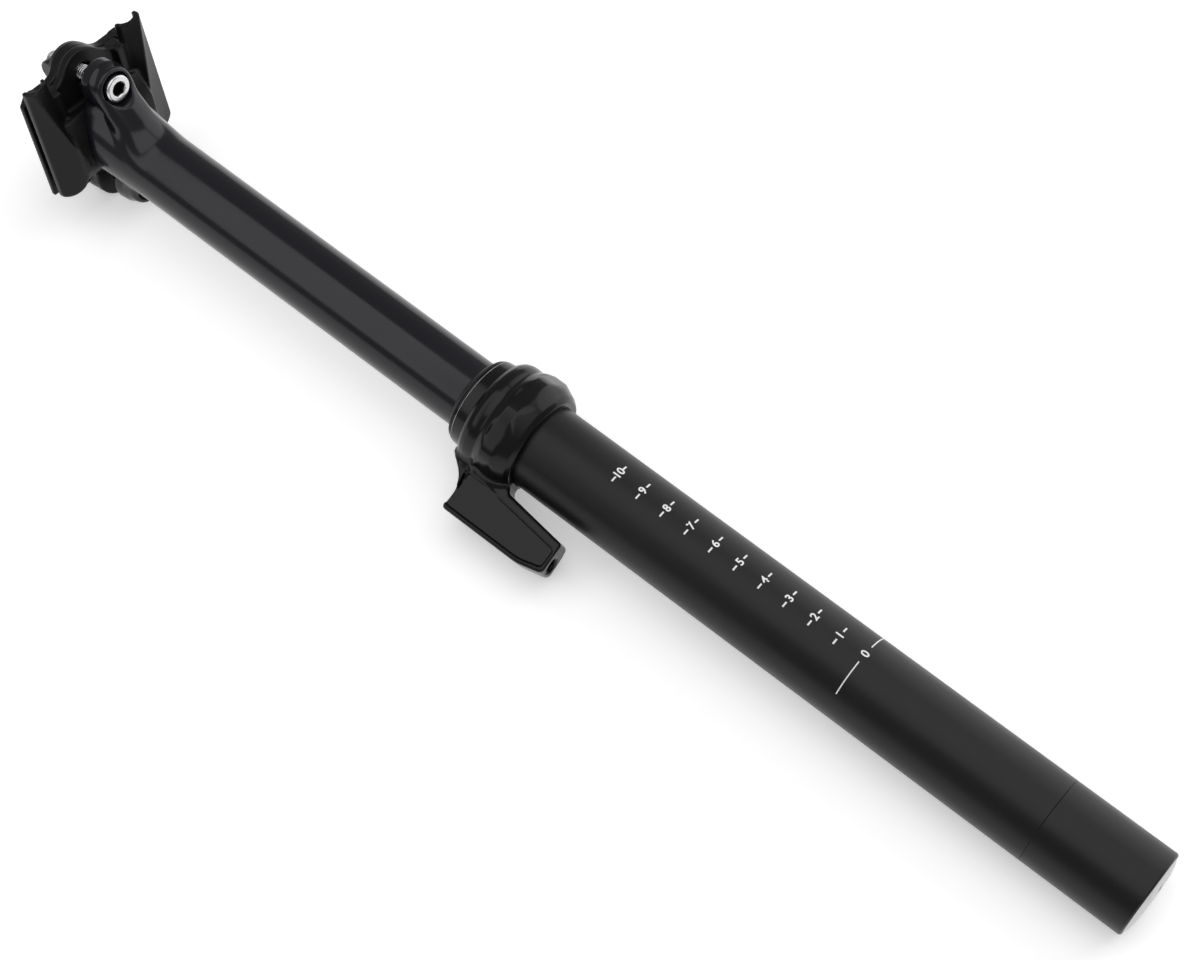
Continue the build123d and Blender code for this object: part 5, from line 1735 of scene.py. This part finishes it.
@dataclass
class SaddleClamp:
    """The lower cradle and the upper clamp that hold the saddle's rails."""

    head: HeadFrame
    rail_offset: float = 22.0
    rail_radius: float = 3.5
    rail_level: float = -1.7
    plate_edge: float = 0.7
    ear_fillet: float = 5.0
    slot_half: float = 1.2
    slot_radius: float = 3.3
    cut_edge: float = 0.5
    rail_edge: float = 0.35
    # The wings under the rails; the keel is given at the rear, at its deepest and at the front
    wing_rear: float = -31.8
    wing_front: float = 16.2
    wing_in: float = 17.0
    wing_out: float = 27.0
    wing_side: float = 2.4
    wing_round: float = 0.4
    horn_level: float = -2.2
    keel_station: float = 4.0
    keel_place: tuple[float, float, float] = (25.5, 16.0, 18.5)
    keel_depth: tuple[float, float, float] = (4.5, 8.3, 5.8)
    keel_inside: tuple[float, float, float] = (17.75, 15.5, 17.0)
    stern: float = 8.4
    stern_deep: float = 9.6
    stern_wide: float = 7.6
    stern_scale: float = 0.8
    stern_edge: float = 0.8
    # The web, side bars and ears of the lower cradle
    cradle_radius: float = 20.95
    web_width: float = 35.8
    web_length: float = 26.0
    web_rear: float = -24.0
    web_low: float = -14.0
    side_width: float = 4.4
    side_depth: float = 6.4
    bar_round: float = 0.6
    ear_radius: float = 9.5
    ear_top: float = 2.0
    ear_thickness: float = 3.5
    ear_blend: float = 2.0
    side_blend: float = 1.6
    wing_blend: float = 1.2
    # The upper clamp
    upper_rear: float = -24.5
    upper_front: float = 15.5
    upper_gap: float = 0.15
    upper_plate: float = 3.85
    upper_ear_radius: float = 9.0
    upper_ear_thickness: float = 5.65
    upper_blend: float = 1.2
    inner_gap: float = 1.0
    rim_low: float = 0.5
    rim_high: float = 2.2
    rim_blend: float = 0.8
    nut_radius: float = 4.6

    def build(self) -> None:
        """Makes and dresses both halves of the clamp."""
        place = self.head.placement()
        for name, node, form in (("lower_cradle_forged", "lower_cradle", self._lower()),
                                 ("upper_clamp_forged", "upper_clamp", self._upper())):
            piece = skin_node(name, node, form.seen_from(place), FACE, Finish.CLAMP)
            place_piece(piece, Body.CLAMP, "forged_black", node)

    def _wing(self) -> Form:
        """One wing under a rail, keeled like a hull; the other mirrors it.

        Returns:
            Both wings.
        """
        stations = np.array([self.wing_rear, self.keel_station, self.wing_front])
        top, side_low = self.horn_level, self.horn_level - self.wing_side
        sections = np.array([
            [(self.wing_in, top), (self.wing_out, top), (self.wing_out, side_low), (place, top - depth),
             (inside, side_low)]
            for place, depth, inside in zip(self.keel_place, self.keel_depth, self.keel_inside)])

        def distance(points: np.ndarray) -> np.ndarray:
            """The distance to the hull's faces at each station.

            Args:
                points: The points, one in each row.
            Returns:
                Their distances.
            """
            along, side, up = points[:, 0], np.abs(points[:, 1]), points[:, 2]
            found = None
            for index in range(sections.shape[1]):
                ax, ay, bx, by = (np.interp(along, stations, sections[:, corner, part])
                                  for corner in (index - 1, index) for part in (0, 1))
                ex, ey = bx - ax, by - ay
                length = np.maximum(np.hypot(ex, ey), TINY)
                face = ((side - ax) * -ey + (up - ay) * ex) / length
                found = face if found is None else -soft_least(-found, -face, self.wing_round)
            return found

        ends = slab(0, self.wing_rear, self.wing_front)
        return Form(distance).meet(ends, self.wing_round).meet(Form(self._stern), self.stern_edge)

    def _stern(self, points: np.ndarray) -> np.ndarray:
        """The distance to the wing's rounded front end.

        Args:
            points: The points, one in each row.
        Returns:
            Their distances.
        """
        along = np.maximum(points[:, 0] - (self.wing_front - self.stern), 0) / self.stern
        down = np.minimum(points[:, 2] - self.horn_level, 0) / self.stern_deep
        side = (np.abs(points[:, 1]) - self.rail_offset) / self.stern_wide
        beyond = np.sqrt(along ** 2 + np.where(along > 0, down ** 2 + side ** 2, 0) + NEARLY) - 1
        return np.where(along > 0, beyond * self.stern * self.stern_scale, -self.stern)

    def _rails(self) -> Form:
        """The two rails' space."""
        right = rod(0, (self.rail_offset, self.rail_level), self.rail_radius)
        return Form(lambda p: right.distance(np.stack([p[:, 0], np.abs(p[:, 1]), p[:, 2]], 1)))

    def _ears(self, radius: float, plate: Form, low: float, high: float) -> Form:
        """A plate with round ears about the bolts, in one thickness.

        Args:
            radius: The ears' radius.
            plate: The plate's outline, endless upright.
            low: Its underside.
            high: Its upper side.
        Returns:
            The plate.
        """
        bolt = self.head.bolt
        ears = rod(2, (bolt, 0.0), radius).join(rod(2, (-bolt, 0.0), radius))
        return plate.join(ears, self.ear_fillet).meet(slab(2, low, high), self.plate_edge)

    def _slots(self) -> Form:
        """The slots that let the clamp tilt about the bolts.

        Returns:
            The space of both slots.
        """
        def distance(points: np.ndarray) -> np.ndarray:
            """The distance to both slots."""
            along = np.maximum(np.abs(np.abs(points[:, 0]) - self.head.bolt) - self.slot_half, 0)
            return np.hypot(along, points[:, 1]) - self.slot_radius

        return Form(distance)

    def _lower(self) -> Form:
        """The lower cradle.

        Returns:
            The cradle, with its rails' grooves and slots.
        """
        half, long = self.web_width / 2, self.web_length / 2
        arc_under = rod(1, (0.0, self.head.axis_height), self.cradle_radius)
        web = arc_under.meet(block((-long, -half, self.web_low), (long, half, self.ear_top), self.bar_round),
                             self.plate_edge)
        plate = oblong(self.web_rear, self.wing_front, half)
        ears = self._ears(self.ear_radius, plate, self.ear_top - self.ear_thickness, self.ear_top)
        sides = None
        for side in (1, -1):
            low, high = sorted((side * half, side * (half - self.side_width)))
            bar = block((self.web_rear, low, self.ear_top - self.side_depth),
                        (self.wing_front, high, self.ear_top), self.bar_round)
            sides = bar if sides is None else sides.join(bar)
        body = web.join(ears, self.ear_blend).join(sides, self.side_blend).join(self._wing(), self.wing_blend)
        return body.cut(self._rails(), self.rail_edge).cut(self._slots(), self.cut_edge)

    def _upper(self) -> Form:
        """The upper clamp plate.

        Returns:
            The plate, with the seats for the barrel nuts.
        """
        low = self.ear_top + self.upper_gap
        high = low + self.upper_plate
        plate = self._ears(self.upper_ear_radius, oblong(self.upper_rear, self.upper_front, self.rail_offset),
                           low, high)
        inner = self.web_width / 2 + self.inner_gap
        rim = [(inner, self.rim_low), (self.wing_out, self.rim_low), (self.wing_out, self.rim_high),
               (self.rail_offset, high), (inner, high)]
        rims = Form(lambda p: outline_distance(rim, np.abs(p[:, 1]), p[:, 2]))
        rims = rims.meet(slab(0, self.upper_rear, self.upper_front), self.plate_edge)
        body = plate.join(rims, self.rim_blend)
        bolts = (self.head.bolt, -self.head.bolt)
        for bolt in bolts:
            boss = cylinder(2, (bolt, 0.0), self.upper_ear_radius, low, low + self.upper_ear_thickness,
                            self.plate_edge)
            body = body.join(boss, self.upper_blend)
        for bolt in bolts:
            body = body.cut(rod(1, (bolt, self.head.axis_height), self.nut_radius), self.cut_edge)
        return body.cut(self._rails(), self.cut_edge).cut(self._slots(), self.cut_edge)


@dataclass
class ClampBolts:
    """The two clamp bolts with their washers and barrel nuts."""

    head: HeadFrame
    head_radius: float = 5.0
    head_low: float = -19.56
    head_high: float = -13.56
    head_round: float = 0.9
    head_face: float = 0.17
    hex_across: float = 5.0
    hex_depth: float = 3.0
    hex_corner: float = 0.05
    hex_edge: float = 0.1
    hex_lead: float = 2.0
    cone_share: float = 0.585
    cone_depth: float = 1.0
    corner_share: float = 0.62
    rim_depth: float = 0.45
    shank: float = 3.0
    shank_top: float = 16.44
    shank_root: float = 0.4
    shank_end: float = 0.6
    shank_edge: float = 0.12
    shank_steps: int = 64
    pitch: float = 1.0
    thread_from: float = -8.0
    thread_depth: float = 0.28
    thread_lead: float = 0.3
    runout: float = 0.8
    ridge: float = 0.26
    ridge_rise: float = 0.02
    nut_radius: float = 4.5
    nut_length: float = 13.0
    nut_round: float = 0.7
    nut_clear: float = 0.22
    nut_edge: float = 0.5
    nut_face: float = 0.26
    washer: tuple[float, float] = (3.1, 5.6)
    washer_thickness: float = 1.0
    washer_edge: float = 0.15
    washer_steps: int = 72

    def build(self) -> None:
        """Makes and dresses bolts, washers and nuts."""
        self.place = self.head.placement()
        for end, bolt, nut, along in (("rear", Body.REAR_BOLT, Body.REAR_NUT, -self.head.bolt),
                                      ("front", Body.FRONT_BOLT, Body.FRONT_NUT, self.head.bolt)):
            place_piece(self._bolt(end, along), bolt, "steel", f"{end}_bolt")
            place_piece(self._nut(end, along), nut, "steel_black", f"{end}_barrel_nut")
        self._washers()

    def _set(self, piece: bpy.types.Object, along: float, up: float) -> bpy.types.Object:
        """Moves a mesh made about Z to its place on the head.

        Args:
            piece: The piece.
            along: How far forward it goes.
            up: How far up the head's axis.
        Returns:
            The piece.
        """
        axes = Matrix([self.place.across, self.place.aside, self.place.up]).transposed().to_4x4()
        shift = self.place.world([[along, 0.0, up]])[0] * MM
        piece.data.transform(Matrix.Translation(Vector(shift)) @ axes)
        return piece

    def _bolt(self, end: str, along: float) -> bpy.types.Object:
        """One socket-head bolt with a helical thread.

        Args:
            end: Which end of the clamp.
            along: How far forward it stands.
        Returns:
            The bolt.
        """
        length = self.head_high - self.head_low
        core = self.shank - self.thread_depth
        top, start = self.shank_top - self.head_low, self.thread_from - self.head_low
        root = length - self.shank_root
        outline = rounded([
            (0, root), (self.shank, root), (self.shank, start), (core, start + self.thread_lead),
            (core, top - self.shank_end), (core - self.shank_end, top), (0, top),
        ], self.shank_edge)
        cap = self._cap(length)
        shank = lathe("shank", outline, Finish.STEEL, self.shank_steps)
        thread = grown_thread("thread", core + self.ridge_rise, self.pitch, top - start - 2 * self.runout,
                              self.ridge, Finish.STEEL)
        thread.data.transform(Matrix.Translation(Vector((0, 0, start + self.runout)) * MM))
        return self._set(joined(f"{end}_bolt_threaded", [cap, shank, thread]), along, self.head_low)

    def _cap(self, length: float) -> bpy.types.Object:
        """A bolt's head with its hexagon socket, from height 0 up.

        Args:
            length: The head's height.
        Returns:
            The head.
        """
        head = cylinder(2, (0, 0), self.head_radius, 0.0, length, self.head_round)
        six = flat_sided(6, self.hex_across / 2, self.hex_corner)
        socket = six.meet(slab(2, -self.hex_lead, self.hex_depth), self.hex_edge)
        cone = Form(lambda p: np.hypot(p[:, 0], p[:, 1]) + p[:, 2] - self.hex_across * self.cone_share)
        lead = cone.meet(slab(2, -self.hex_lead, self.cone_depth))
        form = head.cut(socket, self.hex_edge).cut(lead, self.hex_edge)
        wide = self.head_radius + 1
        cap = skin("cap", form, (-wide, -wide, -1.0), (wide, wide, length + 1), self.head_face, Finish.STEEL)
        # Paints shade into the socket, darker with depth
        self._mark_socket(cap)
        return cap

    def _mark_socket(self, cap: bpy.types.Object) -> None:
        """Writes how deep in the socket each corner lies, for the finish to paint as shade.

        Args:
            cap: The bolt's head.
        """
        marks = cap.data.attributes.new(PAINTED_SOCKET_SHADE, "FLOAT", "POINT")
        for vertex, mark in zip(cap.data.vertices, marks.data):
            inside = vertex.co.xy.length < self.hex_across * self.corner_share * MM
            depth = vertex.co.z / MM - self.rim_depth
            mark.value = min(1.0, max(0.0, depth)) if inside else 0.0

    def _nut(self, end: str, along: float) -> bpy.types.Object:
        """One barrel nut, with the hole for the bolt.

        Args:
            end: Which end of the clamp.
            along: How far forward it stands.
        Returns:
            The nut.
        """
        half = self.nut_length / 2
        form = cylinder(1, (0, 0), self.nut_radius, -half, half, self.nut_round)
        form = form.cut(rod(2, (0, 0), self.shank + self.nut_clear), self.nut_edge)
        wide = self.nut_radius + 1
        piece = skin(f"{end}_nut_turned", form, (-wide, -half - 1, -wide), (wide, half + 1, wide),
                     self.nut_face, Finish.DARK_STEEL)
        return self._set(piece, along, self.head.axis_height)

    def _washers(self) -> None:
        """The washers under both bolt heads."""
        inner, outer = self.washer
        low = self.head_high + SEAM
        high = low + self.washer_thickness
        ring = rounded([(inner, low), (outer, low), (outer, high), (inner, high)], self.washer_edge)
        washers = [self._set(lathe("washer", ring, Finish.STEEL, self.washer_steps), along, 0.0)
                   for along in (-self.head.bolt, self.head.bolt)]
        place_piece(joined("bolt_washers_stamped", washers), Body.POST, "steel", "bolt_washers")


@dataclass(frozen=True)
class SoftBox:
    """An upright rectangular lamp that faces the post's axis on the level."""

    name: str
    bearing: float
    distance: float
    height: float
    width: float
    rise: float
    radiance: float

    def hang(self) -> None:
        """Adds the lamp, its power worked out from its size and radiance."""
        light = bpy.data.lights.new(self.name, "AREA")
        light.shape = "RECTANGLE"
        light.size, light.size_y = self.width * MM, self.rise * MM
        light.energy = self.radiance * math.pi * self.width * self.rise * MM * MM
        holder = bpy.data.objects.new(self.name, light)
        target = Vector((0, 0, self.height))
        spot = compass(self.bearing) * self.distance + target
        turn = (spot - target).normalized().to_track_quat("Z", "Y")
        holder.matrix_world = Matrix.Translation(spot * MM) @ turn.to_matrix().to_4x4()
        bpy.context.scene.collection.objects.link(holder)


@dataclass
class Studio:
    """The pale ground, the lamps and the camera."""

    ground_azimuth: float = 174.3
    ground_tilt: float = 0.035
    ground_gap: float = 15.6
    ground_size: float = 6000.0
    ground_middle: float = 220.0
    ground_level: float = 0.92
    ground_lift: float = 0.34
    fill: float = 0.32
    view_azimuth: float = -29.1
    view_elevation: float = 16.35
    view_roll: float = 53.6
    view_distance: float = 800.0
    aim: tuple[float, float, float] = (-27.81, 12.71, 213.02)
    lens: float = 75.25
    sensor: float = 36.0
    sight: tuple[float, float] = (0.01, 50.0)  # the nearest and furthest that it sees, in metres
    lamps: tuple[SoftBox, ...] = (
        SoftBox("post_box", bearing=145.0, distance=1025.0, height=860.0, width=1750.0, rise=520.0,
                radiance=1.3),
        SoftBox("rear_box", bearing=170.0, distance=1025.0, height=100.0, width=1400.0, rise=880.0,
                radiance=1.3),
        SoftBox("side_box", bearing=243.0, distance=1100.0, height=0.0, width=1500.0, rise=1080.0,
                radiance=1.5),
    )

    def build(self) -> None:
        """Sets the stage."""
        self._camera()
        self._ground()
        self._world()
        for lamp in self.lamps:
            lamp.hang()

    def _camera(self) -> None:
        """The camera at the photograph's place."""
        turn, rise = math.radians(self.view_azimuth), math.radians(self.view_elevation)
        look = Vector((math.cos(rise) * math.cos(turn), math.cos(rise) * math.sin(turn), math.sin(rise)))
        right = look.cross(Vector((0, 0, 1))).normalized()
        right = Matrix.Rotation(math.radians(self.view_roll), 3, look) @ right
        over = right.cross(look)
        camera = bpy.data.cameras.new("camera")
        camera.lens = self.lens
        camera.sensor_width = self.sensor
        camera.clip_start, camera.clip_end = self.sight
        holder = bpy.data.objects.new("camera", camera)
        pose = Matrix([right, over, -look]).transposed().to_4x4()
        pose.translation = (Vector(self.aim) - look * self.view_distance) * MM
        holder.matrix_world = pose
        bpy.context.scene.collection.objects.link(holder)
        bpy.context.scene.camera = holder

    def _paper(self) -> bpy.types.Material:
        """The ground's finish: pale paper, clear when seen from below.

        Returns:
            The finish.
        """
        paper = bpy.data.materials.new("pale_ground")
        shade = Graph(emptied(paper))
        matt = shade.node("ShaderNodeBsdfDiffuse", {}, {"Color": grey(self.ground_level)})
        path = shade.node("ShaderNodeLightPath")
        seen = path.out("Is Camera Ray").larger(path.out("Is Glossy Ray"))
        seen = seen.larger(path.out("Is Transmission Ray"))
        lift = shade.node("ShaderNodeEmission", {}, {"Color": grey(1.0), "Strength": seen * self.ground_lift})
        lit = shade.node("ShaderNodeAddShader", {}, {0: matt.out(), 1: lift.out()})
        clear = shade.node("ShaderNodeBsdfTransparent")
        behind = shade.node("ShaderNodeNewGeometry").out("Backfacing")
        either = shade.node("ShaderNodeMixShader", {}, {0: behind, 1: lit.out(), 2: clear.out()})
        shade.node("ShaderNodeOutputMaterial", {}, {"Surface": either.out()})
        return paper

    def _ground(self) -> None:
        """A flat pale ground that the post lies on."""
        up = (compass(self.ground_azimuth) + Vector((0, 0, self.ground_tilt))).normalized()
        side = up.cross(Vector((0, 0, 1))).normalized()
        along = side.cross(up)
        middle = Vector((0, 0, self.ground_middle))
        middle = middle - up * (up.dot(middle) + self.ground_gap)
        half = self.ground_size / 2
        corners = [middle + side * a + along * b
                   for a, b in ((-half, -half), (half, -half), (half, half), (-half, half))]
        mesh = bpy.data.meshes.new("ground")
        mesh.from_pydata([corner * MM for corner in corners], [], [(0, 1, 2, 3)])
        if mesh.polygons[0].normal.dot(up) < 0:
            mesh.flip_normals()
        mesh.materials.append(self._paper())
        ground = bpy.data.objects.new("ground", mesh)
        bpy.context.scene.collection.objects.link(ground)

    def _world(self) -> None:
        """White to the camera and through glass, a soft fill to the rest."""
        world = bpy.data.worlds.new("studio")
        bpy.context.scene.world = world
        shade = Graph(emptied(world))
        path = shade.node("ShaderNodeLightPath")
        seen = path.out("Is Camera Ray").larger(path.out("Is Transmission Ray"))
        strength = self.fill + seen * (1 - self.fill)
        back = shade.node("ShaderNodeBackground", {}, {"Color": grey(1.0), "Strength": strength})
        shade.node("ShaderNodeOutputWorld", {}, {"Surface": back.out()})


def dress_frame() -> None:
    """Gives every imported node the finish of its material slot."""
    slots = {part["node"]: part["material_slot"] for part in FRAME["record"]["subparts"]}
    for name, node in FRAME["nodes"].items():
        finish = material(FINISH_OF_SLOT[slots[name]])
        node.data.materials.clear()
        node.data.materials.append(finish)
    LOG.info("%d packed nodes dressed", len(slots))


def main() -> None:
    """Builds the post and the studio round the frame."""
    dress_frame()
    Studio().build()
    TubeAssembly().build()
    Scale().build()
    Collar().build()
    head = HeadFrame()
    InnerPost(head).build()
    SaddleClamp(head).build()
    ClampBolts(head).build()
    bpy.context.scene.view_settings.view_transform = "Standard"


with open("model.json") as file:
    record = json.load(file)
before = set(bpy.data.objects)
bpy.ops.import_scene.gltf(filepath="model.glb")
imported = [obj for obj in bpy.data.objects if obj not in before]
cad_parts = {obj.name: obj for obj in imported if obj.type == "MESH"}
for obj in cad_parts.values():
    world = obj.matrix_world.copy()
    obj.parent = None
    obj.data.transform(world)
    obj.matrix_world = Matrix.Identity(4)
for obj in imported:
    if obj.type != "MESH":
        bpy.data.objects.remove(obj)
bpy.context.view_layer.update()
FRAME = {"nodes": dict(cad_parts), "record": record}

if __name__ == "__main__":
    logging.basicConfig(level=logging.INFO)
    main()
